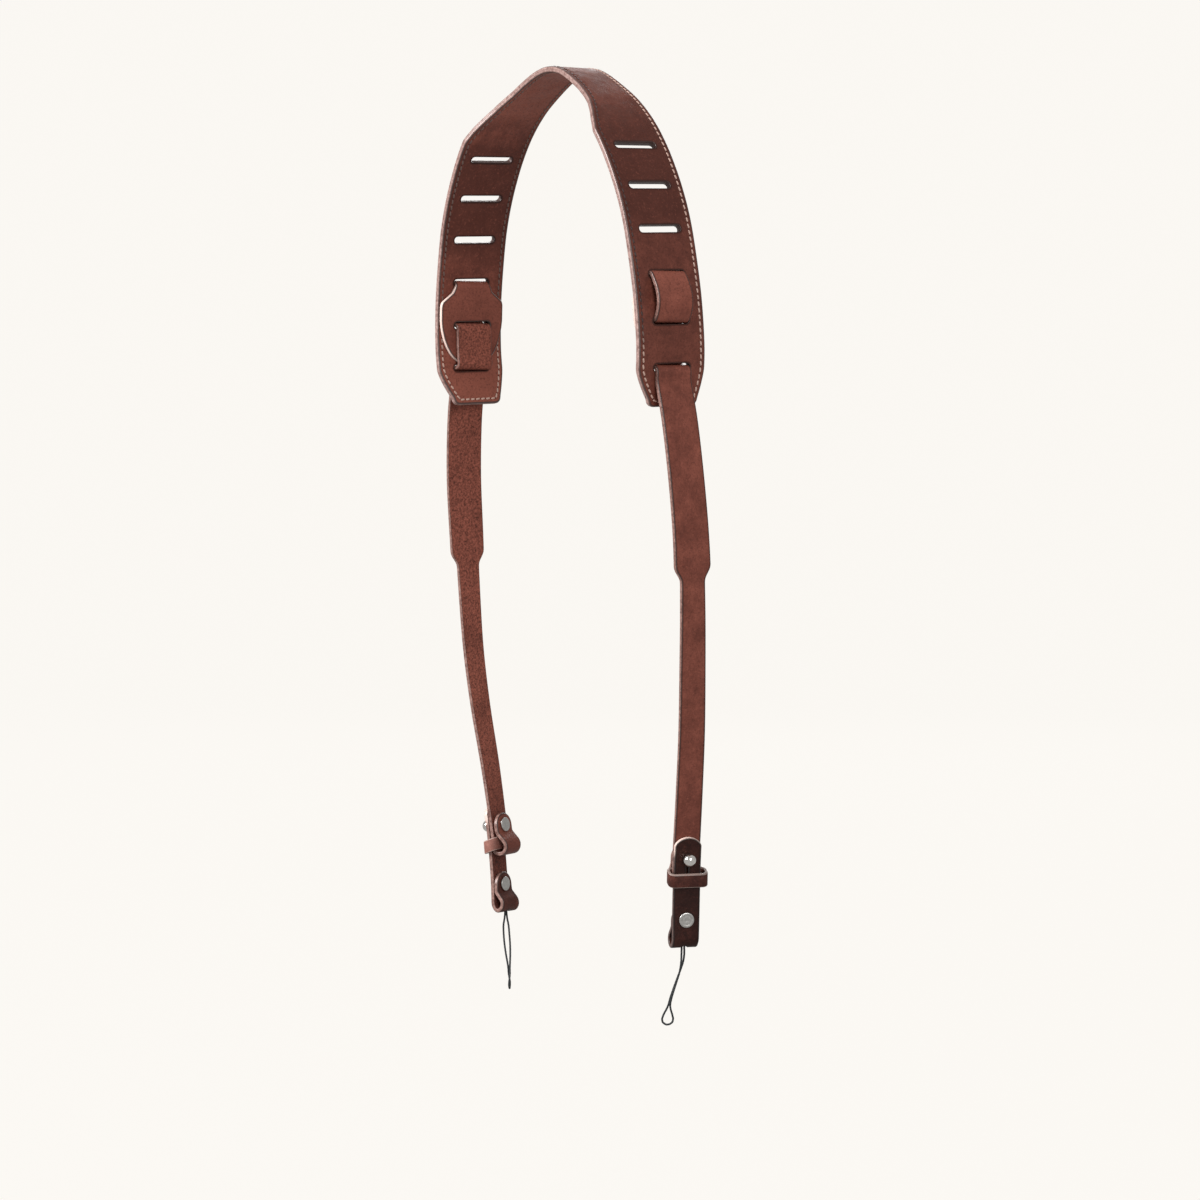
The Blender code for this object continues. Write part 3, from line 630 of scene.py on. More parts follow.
class Bend:
    """The line that a flat leather is bent along, with its frame at every distance."""

    STEP = 0.0004

    def __init__(self, points: Sequence, sides: Sequence, soften: float = 0.0) -> None:
        """Reads the line at close steps and softens its corners.

        Args:
            points: the line's points.
            sides: the way across the leather at each point.
            soften: the reach of the softening, in metres.
        """
        points = np.asarray(points, float)
        along = lengths_of(points)
        self.along = np.linspace(0, along[-1], int(along[-1] / self.STEP) + 1)
        self.points = self.soft(rows_at(self.along, along, points), soften)
        sides = self.soft(rows_at(self.along, along, np.asarray(sides, float)), soften)
        ahead = unit(np.gradient(self.points, axis=0))
        sides = sides - (sides * ahead).sum(axis=1, keepdims=True) * ahead
        self.sides = unit(sides)
        self.normals = unit(np.cross(ahead, self.sides))

    def soft(self, rows: np.ndarray, reach: float) -> np.ndarray:
        """Rows averaged over a short reach, with both ends held.

        Args:
            rows: the numbers at each step.
            reach: the averaging's reach, in metres.

        Returns:
            The softened rows.
        """
        if not reach:
            return rows
        half = int(3 * reach / self.STEP)
        weights = np.exp(-0.5 * (np.arange(-half, half + 1) * self.STEP / reach) ** 2)
        weights /= weights.sum()
        before = 2 * rows[0] - rows[half:0:-1]
        after = 2 * rows[-1] - rows[-2 : -half - 2 : -1]
        padded = np.vstack([before, rows, after])
        return np.stack([np.convolve(column, weights, "valid") for column in padded.T], axis=1)

    def place(self, flat: np.ndarray, height: np.ndarray | float) -> np.ndarray:
        """Points of the flat leather, bent into the world.

        Args:
            flat: rows of (distance along, distance across).
            height: how far above the line's surface each one is.

        Returns:
            The world points.
        """
        centre = rows_at(flat[:, 0], self.along, self.points)
        side = unit(rows_at(flat[:, 0], self.along, self.sides))
        normal = unit(rows_at(flat[:, 0], self.along, self.normals))
        height = np.broadcast_to(height, len(flat))[:, None]
        return centre + side * flat[:, 1:2] + normal * height


def out_of(ring: np.ndarray) -> np.ndarray:
    """The ways out of the leather at an outline's points, long enough to keep an inset even.

    Args:
        ring: the outline, with the leather on its left.

    Returns:
        One way for each point.
    """
    ahead = unit(np.roll(ring, -1, axis=0) - ring)
    behind = np.roll(ahead, 1, axis=0)
    first = np.column_stack([ahead[:, 1], -ahead[:, 0]])
    second = np.column_stack([behind[:, 1], -behind[:, 0]])
    middle = unit(first + second)
    return middle / np.maximum(LEAST_MITRE, (middle * first).sum(axis=1, keepdims=True))


def distance_to(points: np.ndarray, rings: Sequence[np.ndarray]) -> np.ndarray:
    """How far each flat point is from the nearest of some outlines, at most a metre.

    Args:
        points: the flat points.
        rings: the outlines.

    Returns:
        The distances.
    """
    best = np.ones(len(points))
    for ring in rings:
        run = np.roll(ring, -1, axis=0) - ring
        squared = (run**2).sum(axis=1)
        for start in range(0, len(points), CHUNK):
            some = points[start : start + CHUNK, None]
            share = np.clip(((some - ring) * run).sum(axis=2) / squared, 0, 1)
            gap = np.linalg.norm(some - ring - share[..., None] * run, axis=2).min(axis=1)
            best[start : start + CHUNK] = np.minimum(best[start : start + CHUNK], gap)
    return best


def inside(points: np.ndarray, ring: np.ndarray) -> np.ndarray:
    """Which flat points are inside an outline.

    Args:
        points: the flat points.
        ring: the outline.

    Returns:
        A truth for each point.
    """
    x, y = points[:, :1], points[:, 1:]
    (x0, y0), (x1, y1) = ring.T, np.roll(ring, -1, axis=0).T
    rise = np.where(y1 == y0, 1.0, y1 - y0)
    crossed = ((y0 > y) != (y1 > y)) & (x < (x1 - x0) * (y - y0) / rise + x0)
    return crossed.sum(axis=1) % 2 == 1


def evened(ring: np.ndarray, step: float) -> np.ndarray:
    """An outline read again at even steps.

    Args:
        ring: the outline.
        step: the wanted distance between points.

    Returns:
        The evened outline.
    """
    closed = np.vstack([ring, ring[:1]])
    along = lengths_of(closed)
    count = max(8, round(along[-1] / step))
    return rows_at(np.arange(count) * along[-1] / count, along, closed)


def slot_ring(centre: float, length: float, width: float) -> np.ndarray:
    """A slot across the leather with round ends, clockwise as a hole is.

    Args:
        centre: how far along the leather it lies.
        length: its whole length.
        width: its width.

    Returns:
        The slot's outline.
    """
    reach = (length - width) / 2
    upper = [(centre + x, reach + y) for x, y in arc((0, 0), width / 2, 180, 0, SLOT_END_STEPS)]
    lower = [(centre + x, -reach + y) for x, y in arc((0, 0), width / 2, 0, -180, SLOT_END_STEPS)]
    across = round(2 * reach / SLOT_SIDE_STEP)
    down = [(centre + width / 2, y) for y in np.linspace(reach, -reach, across + 1)[1:-1]]
    up = [(centre - width / 2, y) for y in np.linspace(-reach, reach, across + 1)[1:-1]]
    return np.array(upper + down + lower + up)


def hole_ring(centre: float, diameter: float) -> np.ndarray:
    """A round hole, clockwise."""
    return np.array(arc((centre, 0), diameter / 2, 0, -360, HOLE_STEPS)[:-1])


def bands(rings: int, sides: int, closed: bool = False) -> list[tuple]:
    """The faces between a run of rings.

    Args:
        rings: how many rings follow each other.
        sides: how many points each has.
        closed: whether the last ring joins the first.

    Returns:
        The faces, ring by ring.
    """
    faces = []
    for ring in range(rings if closed else rings - 1):
        a, b = ring * sides, (ring + 1) % rings * sides
        turns = [(j, (j + 1) % sides) for j in range(sides)]
        faces += [(a + j, a + i, b + i, b + j) for j, i in turns]
    return faces


def lids(rings: int, sides: int) -> list[tuple]:
    """The faces that close the first and the last of a run of rings."""
    return [tuple(range(sides))[::-1], tuple(range((rings - 1) * sides, rings * sides))]


@dataclass
class Mesh:
    """Vertices and faces being gathered for one piece."""

    points: list = field(default_factory=list)
    faces: list = field(default_factory=list)
    surfaces: list = field(default_factory=list)

    def add(self, points: np.ndarray, faces: Sequence, surface: Surface = Surface.GRAIN) -> int:
        """Adds points, and faces numbered from the first of them.

        Args:
            points: the new points.
            faces: the new faces.
            surface: the kind of surface they are.

        Returns:
            The number of the first new point.
        """
        start = len(self.points)
        self.points.extend(map(tuple, points))
        self.faces.extend(tuple(start + index for index in face) for face in faces)
        self.surfaces.extend([surface.value] * len(faces))
        return start

    def piece(
        self,
        name: str,
        materials: Sequence[bpy.types.Material],
        slot: str,
        side: Side = Side.RIGHT,
        numbers: dict[str, np.ndarray] | None = None,
        sharp_deg: float = 50.0,
        extra: bool = False,
    ) -> bpy.types.Object:
        """Makes the piece, mirrored where it is on the left.

        Args:
            name: the piece's name.
            materials: its materials, in the order that its faces number them.
            slot: its material slot in the record; not used.
            side: which half it is on.
            numbers: the numbers to keep at each vertex.
            sharp_deg: the angle at which an edge is shaded sharp.
            extra: whether it has no solid of its own name to replace.

        Returns:
            The object, riding on the part's one body.
        """
        points = np.array(self.points)
        faces = self.faces
        if side is Side.LEFT:
            points = points * (-1.0, 1.0, 1.0)
            faces = [face[::-1] for face in faces]
        mesh = bpy.data.meshes.new(name)
        mesh.from_pydata(points.tolist(), [], faces)
        mesh.polygons.foreach_set("material_index", self.surfaces)
        for key, values in (numbers or {}).items():
            layer = mesh.attributes.new(key, "FLOAT", "POINT")
            layer.data.foreach_set("value", np.asarray(values, np.float32))
        mesh.shade_smooth()
        mesh.set_sharp_from_angle(angle=math.radians(sharp_deg))
        for material in materials:
            mesh.materials.append(material)
        made = bpy.data.objects.new(name, mesh)
        bpy.context.scene.collection.objects.link(made)
        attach(made, "root")
        if not extra:
            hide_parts(name)
        return made


def level(edge: np.ndarray, hole: np.ndarray) -> np.ndarray:
    """A face without relief."""
    return 0.0 * edge


@dataclass(frozen=True)
class Along:
    """A number that changes along a leather, read from rows of (share of its length, value)."""

    rows: tuple = ((0.0, 0.5), (1.0, 0.5))
    length: float = 1.0

    def __call__(self, places: np.ndarray) -> np.ndarray:
        """The number at distances along the leather."""
        shares, values = zip(*self.rows)
        return np.interp(np.abs(places) / self.length, shares, values)


@dataclass
class Leather:
    """One flat leather with rounded edges, its holes and its relief, bent along a line."""

    bend: Bend
    outline: np.ndarray
    holes: list
    low: float
    high: float
    round_low: float
    round_high: float
    rows: Sequence[float]
    column_step: float
    rings: Sequence[float] = (0.0008, 0.0016)
    hole_rings: Sequence[float] = (0.0006, 0.0012)
    relief_high: Callable = level
    relief_low: Callable = level
    # Painted light and shade along the leather; 0.5 leaves the colour as it is.
    tone: Along = Along()
    bare: Along = Along(((0.0, 0.0), (1.0, 0.0)))
    hole_round: float = 1.0
    arc_steps: int = 4
    clear_of_edge: float = 0.35
    clear_of_hole: float = 0.3

    def __post_init__(self) -> None:
        """Works out the ways out of the leather at each outline."""
        self.contours = [self.outline, *self.holes]
        self.ways = [out_of(ring) for ring in self.contours]

    def inset(self, index: int, distance: float) -> np.ndarray:
        """One outline moved into the leather by a distance, which is less round a hole."""
        share = self.hole_round if index else 1.0
        return self.contours[index] - self.ways[index] * distance * share

    def inner_points(self) -> np.ndarray:
        """Points inside the flat leather, on rows and on rings beside its edges.

        Returns:
            The flat points.
        """
        rings = [self.inset(0, self.round_high + step) for step in self.rings]
        for index in range(1, len(self.contours)):
            rings += [self.inset(index, self.round_high + step) for step in self.hole_rings]
        low, high = self.outline[:, 1].min(), self.outline[:, 1].max()
        columns = spread(low, high, self.column_step)
        grid = np.array([(row, column) for row in self.rows for column in columns])
        grid = grid[inside(grid, self.outline)]
        for hole in self.holes:
            grid = grid[~inside(grid, hole)]
        reach = max(self.rings) + self.round_high + self.column_step * self.clear_of_edge
        grid = grid[distance_to(grid, [self.outline]) > reach]
        if self.holes:
            reach = max(self.hole_rings) + self.round_high + self.column_step * self.clear_of_hole
            grid = grid[distance_to(grid, self.holes) > reach]
        return np.vstack([*rings, grid])

    def triangles(self) -> tuple[np.ndarray, list, list]:
        """The flat leather's triangles.

        Returns:
            The flat points, the triangles, and each outline's point numbers.
        """
        inset = [self.inset(k, self.round_high) for k in range(len(self.contours))]
        points = np.vstack([*inset, self.inner_points()])
        edges, start = [], 0
        for ring in inset:
            count = len(ring)
            edges += [(start + i, start + (i + 1) % count) for i in range(count)]
            start += count
        given = [Vector(point / MM) for point in points]
        _, _, faces, came_from, _, _ = delaunay_2d_cdt(given, edges, [], 0, 1e-4)
        number = {}
        flat = np.zeros((len(came_from), 2))
        for index, sources in enumerate(came_from):
            flat[index] = points[sources[0]]
            number.update((source, index) for source in sources)
        corners = np.array(faces)
        middle = flat[corners].mean(axis=1)
        kept = inside(middle, inset[0])
        for ring in inset[1:]:
            kept &= ~inside(middle, ring)
        turned = []
        for a, b, c in corners[kept]:
            (ax, ay), (bx, by), (cx, cy) = flat[a], flat[b], flat[c]
            area = (bx - ax) * (cy - ay) - (by - ay) * (cx - ax)
            turned.append((a, b, c) if area > 0 else (a, c, b))
        marks, start = [], 0
        for ring in inset:
            marks.append([number[start + i] for i in range(len(ring))])
            start += len(ring)
        return flat, turned, marks

    def build(
        self,
        name: str,
        materials: Sequence[bpy.types.Material],
        slot: str,
        side: Side,
        turned: bool = False,
    ) -> bpy.types.Object:
        """Makes the piece.

        Args:
            name: the piece's name.
            materials: its grain, flesh and edge.
            slot: its material slot in the record.
            side: which half it is on.
            turned: whether the grain is on the low side.

        Returns:
            The piece.
        """
        flat, faces, marks = self.triangles()
        edge = distance_to(flat, [self.outline])
        hole = distance_to(flat, self.holes) if self.holes else np.ones(len(flat))
        high = self.high + self.relief_high(edge, hole)
        low = self.low - self.relief_low(edge, hole)
        lower = flat.copy()
        for index, numbers in enumerate(marks):
            lower[numbers] = self.inset(index, self.round_low)
        mesh = Mesh()
        first, second = (Surface.GRAIN, Surface.FLESH)[:: -1 if turned else 1]
        mesh.add(self.bend.place(flat, high), faces, first)
        base = mesh.add(self.bend.place(lower, low), [(a, c, b) for a, b, c in faces], second)
        edges, gaps, places = [edge] * 2, [hole] * 2, [flat[:, 0]] * 2
        corners = [np.ones(len(flat))] * 2
        for index, numbers in enumerate(marks):
            rims = []
            for distance, height, corner in self.profile():
                ring = self.inset(index, distance)
                start = mesh.add(self.bend.place(ring, height), [], Surface.EDGE)
                rims.append(list(range(start, start + len(ring))))
                edges.append(np.full(len(ring), 0.0 if index == 0 else 1.0))
                gaps.append(np.full(len(ring), 1.0 if index == 0 else 0.0))
                corners.append(np.full(len(ring), corner))
                places.append(ring[:, 0])
            rims = [numbers, *rims, [base + number for number in numbers]]
            for upper, under in zip(rims, rims[1:]):
                count = len(upper)
                quads = [
                    (under[i], under[(i + 1) % count], upper[(i + 1) % count], upper[i])
                    for i in range(count)
                ]
                mesh.faces.extend(quads)
                mesh.surfaces.extend([Surface.EDGE.value] * len(quads))
        along = np.concatenate(places)
        numbers = {
            "edge_mm": np.concatenate(edges) / MM,
            "hole_mm": np.concatenate(gaps) / MM,
            "rim": np.concatenate(corners),
            # The tone number, which the grain and flesh read for painted light and shade.
            "tone": self.tone(along),
            "bare": self.bare(along),
        }
        return mesh.piece(name, materials, slot, side, numbers)

    def profile(self) -> list[tuple[float, float, float]]:
        """The rounded edge from the high side to the low one.

        Returns:
            Rows of (inset, height, corner), where the corner is 1 where the face ends.
        """
        most = max(self.round_high, self.round_low)
        halves = []
        for radius, face, way in ((self.round_high, self.high, -1), (self.round_low, self.low, 1)):
            half = []
            for k in range(1, self.arc_steps + 1):
                angle = math.pi / 2 * k / self.arc_steps
                corner = (1 - k / self.arc_steps) * radius / most
                height = face + way * radius * (1 - math.cos(angle))
                half.append((radius * (1 - math.sin(angle)), height, corner))
            halves.append(half)
        return halves[0] + halves[1][::-1]


# Sizes that the strap's pieces share


@dataclass(frozen=True)
class PadSizes:
    """The shoulder pad's cut and its hang."""

    leather: float = 0.00165
    gap: float = 0.0003
    width: float = 0.0464
    crown_width: float = 0.0304
    out: float = 0.1019
    drop: float = 0.1944
    crown_back: float = 0.0099
    end_back: float = 0.0034
    corner_at: float = 0.0775
    end_taper: float = 0.0215
    end_width: float = 0.0262
    end_shift: float = 0.0022
    taper_curve: float = 1.35
    end_radius: float = 0.0042
    slot_first: float = 0.0892
    slot_pitch: float = 0.026
    slot_count: int = 6
    slot_length: float = 0.0288
    held_slot_length: float = 0.0249
    held_slots: int = 3
    slot_width: float = 0.004
    arch: tuple = (
        (0.000, 0.000),
        (0.098, 0.007),
        (0.187, 0.025),
        (0.310, 0.059),
        (0.453, 0.105),
        (0.583, 0.164),
        (0.681, 0.226),
        (0.757, 0.288),
        (0.837, 0.370),
        (0.903, 0.464),
        (0.952, 0.580),
        (0.986, 0.695),
        (1.000, 0.817),
        (0.990, 0.895),
        (0.960, 1.000),
    )
    scoop: tuple = (
        (0.00, 1.00),
        (0.15, 0.98),
        (0.30, 0.92),
        (0.46, 0.85),
        (0.58, 0.73),
        (0.68, 0.61),
        (0.79, 0.40),
        (0.88, 0.21),
        (1.00, 0.00),
    )

    @property
    def thick(self) -> float:
        """Both leathers and the seam between them."""
        return 2 * self.leather + self.gap


class PadShape:
    """The pad's bent middle surface and its flat outline."""

    def __init__(self, sizes: PadSizes) -> None:
        """Works the line out from the sizes.

        Args:
            sizes: the pad's sizes.
        """
        self.sizes = sizes
        half = [(out * sizes.out, -down * sizes.drop) for out, down in sizes.arch]
        whole = [(-x, z) for x, z in half[:0:-1]] + half
        flat = spline([(x, sizes.thick / 2 + z) for x, z in whole], 12)
        down = sizes.thick / 2 - flat[:, 1]
        back = np.interp(down, (0, sizes.drop), (-sizes.crown_back, -sizes.end_back))
        points = np.column_stack([flat[:, 0], back, flat[:, 1]])
        self.bend = Bend(points, np.tile((0.0, 1.0, 0.0), (len(points), 1)), 0.003)
        self.half_length = self.bend.along[-1] / 2
        self.bend.along = self.bend.along - self.half_length
        self.slots = [sizes.slot_first + sizes.slot_pitch * i for i in range(sizes.slot_count)]

    def end_half(self, distance: float, shift: float) -> float:
        """The half width towards one edge, where the end tapers and its corners are rounded.

        Args:
            distance: the distance along the pad.
            shift: how far the end's middle is moved towards this edge.

        Returns:
            The half width.
        """
        sizes = self.sizes
        left = self.half_length - abs(distance)
        corner = sizes.end_width / 2 + sizes.end_radius + shift
        if left >= sizes.end_taper:
            return sizes.width / 2
        if left >= sizes.end_radius:
            share = (sizes.end_taper - left) / (sizes.end_taper - sizes.end_radius)
            return sizes.width / 2 - (sizes.width / 2 - corner) * share**sizes.taper_curve
        lift = min(1.0, (sizes.end_radius - left) / sizes.end_radius)
        return corner - sizes.end_radius * (1 - math.sqrt(1 - lift**2))

    def far_half(self, distance: float) -> float:
        """The half width towards the straight back edge."""
        return self.end_half(distance, self.sizes.end_shift)

    def near_half(self, distance: float) -> float:
        """The half width towards the scooped neck edge.

        Args:
            distance: the distance along the pad.

        Returns:
            The half width.
        """
        sizes = self.sizes
        share = abs(distance) / sizes.corner_at
        cut = np.interp(share, [row[0] for row in sizes.scoop], [row[1] for row in sizes.scoop])
        taken = cut * (sizes.width - sizes.crown_width)
        return self.end_half(distance, -sizes.end_shift) - taken

    def outline(self) -> np.ndarray:
        """The whole flat outline at even steps.

        Returns:
            Rows of (along, across).
        """
        end, radius = self.half_length, self.sizes.end_radius
        corner = [end - radius * (1 - math.sin(a)) for a in np.radians(np.arange(15, 91, 12.5))]
        straight = spread(-end + radius, end - radius, 0.0015)
        places = [-value for value in corner[::-1]] + straight + corner
        near = [(value, -self.near_half(value)) for value in places]
        far = [(value, self.far_half(value)) for value in places]
        return evened(np.array(near + far[::-1]), 0.0014)

    def holes(self) -> list[np.ndarray]:
        """The twelve slots, of which the lower three a side lie closer round the strap.

        Returns:
            Each slot's outline.
        """
        sizes = self.sizes
        lengths = [sizes.slot_length] * (sizes.slot_count - sizes.held_slots)
        lengths += [sizes.held_slot_length] * sizes.held_slots
        return [
            slot_ring(way * at, length, sizes.slot_width)
            for way in (-1, 1)
            for at, length in zip(self.slots, lengths)
        ]

    def at(self, along: float, out: float) -> np.ndarray:
        """The world point at a distance along the right half and off the middle surface."""
        return self.bend.place(np.array([[along, 0.0]]), out)[0]


@dataclass(frozen=True)
class StrapSizes:
    """The legs' cut, their weave through the pad and their hang below it."""

    gap: float = 0.0003
    leather: float = 0.0024
    width: float = 0.0241
    narrow: float = 0.0158
    shoulder_at: float = 0.2818
    shoulder: float = 0.0095
    bend: float = 0.0022
    head_width: float = 0.0442
    head_slot: float = 0.0256
    bulge: float = 0.0036
    bulge_fullness: float = 0.75
    bulge_skew: float = 1.2
    settle_out: float = 0.0002
    settle_along: float = 0.005
    drop: float = 0.5
    out: float = 0.1137
    lean: float = 0.0138
    twist_deg: float = 24.0
    head: tuple = (
        (0.00, 0.44),
        (0.05, 0.60),
        (0.11, 0.71),
        (0.20, 0.82),
        (0.31, 0.91),
        (0.42, 0.97),
        (0.53, 1.00),
        (0.74, 1.00),
        (0.78, 0.97),
        (0.84, 0.81),
        (0.90, 0.64),
    )
    hang: tuple = (
        (0.402, 0.955, -0.21, 0.00),
        (0.472, 0.990, -0.07, 0.00),
        (0.542, 1.000, 0.11, 0.06),
        (0.612, 0.993, 0.22, 0.25),
        (0.684, 0.974, 0.33, 0.43),
        (0.754, 0.939, 0.51, 0.56),
        (0.826, 0.885, 0.72, 0.70),
        (0.898, 0.836, 0.87, 0.87),
        (0.934, 0.820, 0.93, 0.95),
        (0.970, 0.808, 0.97, 0.91),
        (1.010, 0.796, 0.99, 0.58),
    )
    fold: tuple = (
        (0.030, 0.23),
        (0.000, 0.50),
        (0.045, 0.78),
        (0.170, 0.965),
        (0.330, 1.00),
        (0.450, 0.88),
        (0.560, 0.68),
    )


@dataclass(frozen=True)
class FittingSizes:
    """The ball stud, the end tab, the keeper, the rivet and the cord."""

    gap: float = 0.0003
    play: float = 0.0004
    stud_at: float = 0.449
    ball: float = 0.0074
    neck: float = 0.0032
    disc: float = 0.0087
    disc_thick: float = 0.0009
    stud_end: float = 0.0071
    fold_drop: float = 0.0184
    fold_bulge: float = 0.0091
    fold_stand_off: float = 0.0012
    tab_leather: float = 0.0024
    tab_width: float = 0.0158
    tab_head_width: float = 0.0188
    tab_head: float = 0.0122
    head_narrows: tuple = (0.4, 1.2)
    slit: float = 0.0068
    slit_width: float = 0.0009
    keeper_below_stud: float = 0.0116
    keeper_height: float = 0.0078
    keeper_leather: float = 0.0018
    keeper_play: float = 0.0009
    keeper_side_play: float = 0.0019
    keeper_radius: float = 0.0018
    keeper_aside: float = 0.0007
    keeper_tilt_deg: float = 15.5
    rivet_below_stud: float = 0.0358
    cap: float = 0.0088
    cap_thick: float = 0.0009
    cap_level: float = 0.3
    cap_seat: float = 0.53
    cap_clear: float = 0.15
    shank: float = 0.0028
    rivet_end: float = 0.0073
    loop_drop: float = 0.0173
    loop_bulge: float = 0.0075
    cord: float = 0.0012
    cord_hole: float = 0.004
    cord_drop: float = 0.0452
    cord_lean: float = 0.0106
    cord_lean_way_deg: float = 202.0
    cord_open: float = 0.0036
    cord_turn_from_deg: float = -110.0
    cord_turn_deg: float = 150.0
    knot: float = 0.0038
    knot_above: float = 0.0033
    loop: tuple = (
        (0.060, 0.22),
        (0.000, 0.50),
        (0.060, 0.80),
        (0.200, 0.99),
        (0.360, 0.97),
        (0.500, 0.76),
        (0.590, 0.56),
    )
    cord_rows: tuple = (
        (0.000, 0.000, 0.44, 0.00),
        (0.080, 0.005, 0.54, 0.12),
        (0.180, 0.050, 0.86, 0.34),
        (0.300, 0.190, 1.00, 0.46),
        (0.430, 0.400, 1.00, 0.50),
        (0.560, 0.610, 0.80, 0.54),
        (0.660, 0.760, 0.56, 0.62),
        (0.740, 0.850, 0.46, 0.73),
        (0.800, 0.895, 0.80, 0.85),
        (0.860, 0.930, 1.35, 0.95),
        (0.925, 0.960, 1.78, 1.00),
        (0.975, 0.980, 1.40, 1.00),
    )

    @property
    def fold_bottom(self) -> float:
        """How deep the fold's bottom lies."""
        return self.stud_at + self.fold_drop

    @property
    def keeper_at(self) -> float:
        """How deep the keeper's middle lies."""
        return self.stud_at + self.keeper_below_stud

    @property
    def rivet_at(self) -> float:
        """How deep the rivet lies."""
        return self.stud_at + self.rivet_below_stud

    @property
    def loop_bottom(self) -> float:
        """How deep the lower loop's bottom lies."""
        return self.rivet_at + self.loop_drop

    def settle_rows(self, cap: float) -> list[tuple[float, float]]:
        """Where returned leather comes down to its seat below a cap, as (below, lift)."""
        seat, clear = self.cap_seat * cap, self.cap_clear * cap
        return [(seat + clear, clear), (seat, 0.0), (self.cap_level * cap, 0.0)]


class Route:
    """A leather's run, as world points and sides, with marks kept at places along it."""

    def __init__(self) -> None:
        """Starts an empty run."""
        self.points: list = []
        self.sides: list = []
        self.marked: dict[str, int] = {}

    def add(self, point: Sequence, side: Sequence = (0.0, 1.0, 0.0), mark: str = "") -> None:
        """Adds a point.

        Args:
            point: the world point.
            side: the way across the leather.
            mark: a name for it, where the cut needs one.
        """
        self.points.append(np.asarray(point, float))
        self.sides.append(np.asarray(side, float))
        if mark:
            self.marked[mark] = len(self.points) - 1

    def bend(self, soften: float) -> tuple[Bend, dict[str, float]]:
        """The line to bend along, and the distance of each mark.

        Args:
            soften: the reach over which corners are softened, in metres.

        Returns:
            The line, and the marks' distances.
        """
        along = lengths_of(np.array(self.points))
        marks = {name: along[index] for name, index in self.marked.items()}
        return Bend(self.points, self.sides, soften), marks


class Hang:
    """The right leg's line below the pad, read by how far down it is."""

    LOOK = 0.003

    def __init__(self, pad: PadShape, sizes: StrapSizes, outer_lie: float) -> None:
        """Works the line out from the sizes.

        Args:
            pad: the pad's shape.
            sizes: the strap's sizes.
            outer_lie: how far the leg's middle lies outside the pad's.
        """
        rows = []
        settled = (sizes.bend + sizes.settle_along, sizes.settle_out)
        for along, out in ((sizes.bend, 0.0), settled):
            rows.append((*pad.at(pad.slots[-1] + along, outer_lie + out), 0.0))
        for down, out, lean, twist in sizes.hang:
            point = (out * sizes.out, lean * sizes.lean, -down * sizes.drop)
            rows.append((*point, twist * sizes.twist_deg))
        self.rows = spline(rows, 6)
        self.start = -self.rows[0, 2]

    def lead(self, route: Route, down: float, out: float = 0.0, mark: str = "") -> None:
        """Adds a point of the line to a run.

        Args:
            route: the run.
            down: the depth.
            out: the offset outwards.
            mark: a name for it, where the cut needs one.
        """
        route.add(*self.at(down, out)[:2], mark)

    def place(self, down: float) -> np.ndarray:
        """The line's own point at a depth."""
        x, y = (np.interp(down, -self.rows[:, 2], self.rows[:, k]) for k in (0, 1))
        return np.array([x, y, -down])

    def at(self, down: float, out: float = 0.0) -> tuple[np.ndarray, np.ndarray, np.ndarray]:
        """A point at a depth and off the line.

        Args:
            down: the depth.
            out: the offset outwards, square to the leather.

        Returns:
            The point, the way across and the way out.
        """
        turn = math.radians(np.interp(down, -self.rows[:, 2], self.rows[:, 3]))
        side = np.array([math.sin(turn), math.cos(turn), 0.0])
        ahead = unit(self.place(down + self.LOOK) - self.place(down - self.LOOK))
        side = unit(side - side.dot(ahead) * ahead)
        outward = unit(np.cross(ahead, side))
        return self.place(down) + outward * out, side, outward


def both_edges(edge: Sequence[tuple], first: int) -> np.ndarray:
    """An even outline from one edge's points.

    Args:
        edge: rows of (distance, half width), of which the last is on the middle line.
        first: the first row that the other edge has too.

    Returns:
        The outline.
    """
    return np.array([(s, -w) for s, w in edge] + [(s, w) for s, w in edge[first:-1][::-1]])


def rounded_end(left: float, half: float) -> float:
    """The half width of a strap at a distance from its round end.

    Args:
        left: the distance.
        half: the strap's half width.

    Returns:
        The half width there.
    """
    if left >= half:
        return half
    return half * math.sqrt(max(0.0, 1 - (1 - left / half) ** 2))


# Pieces


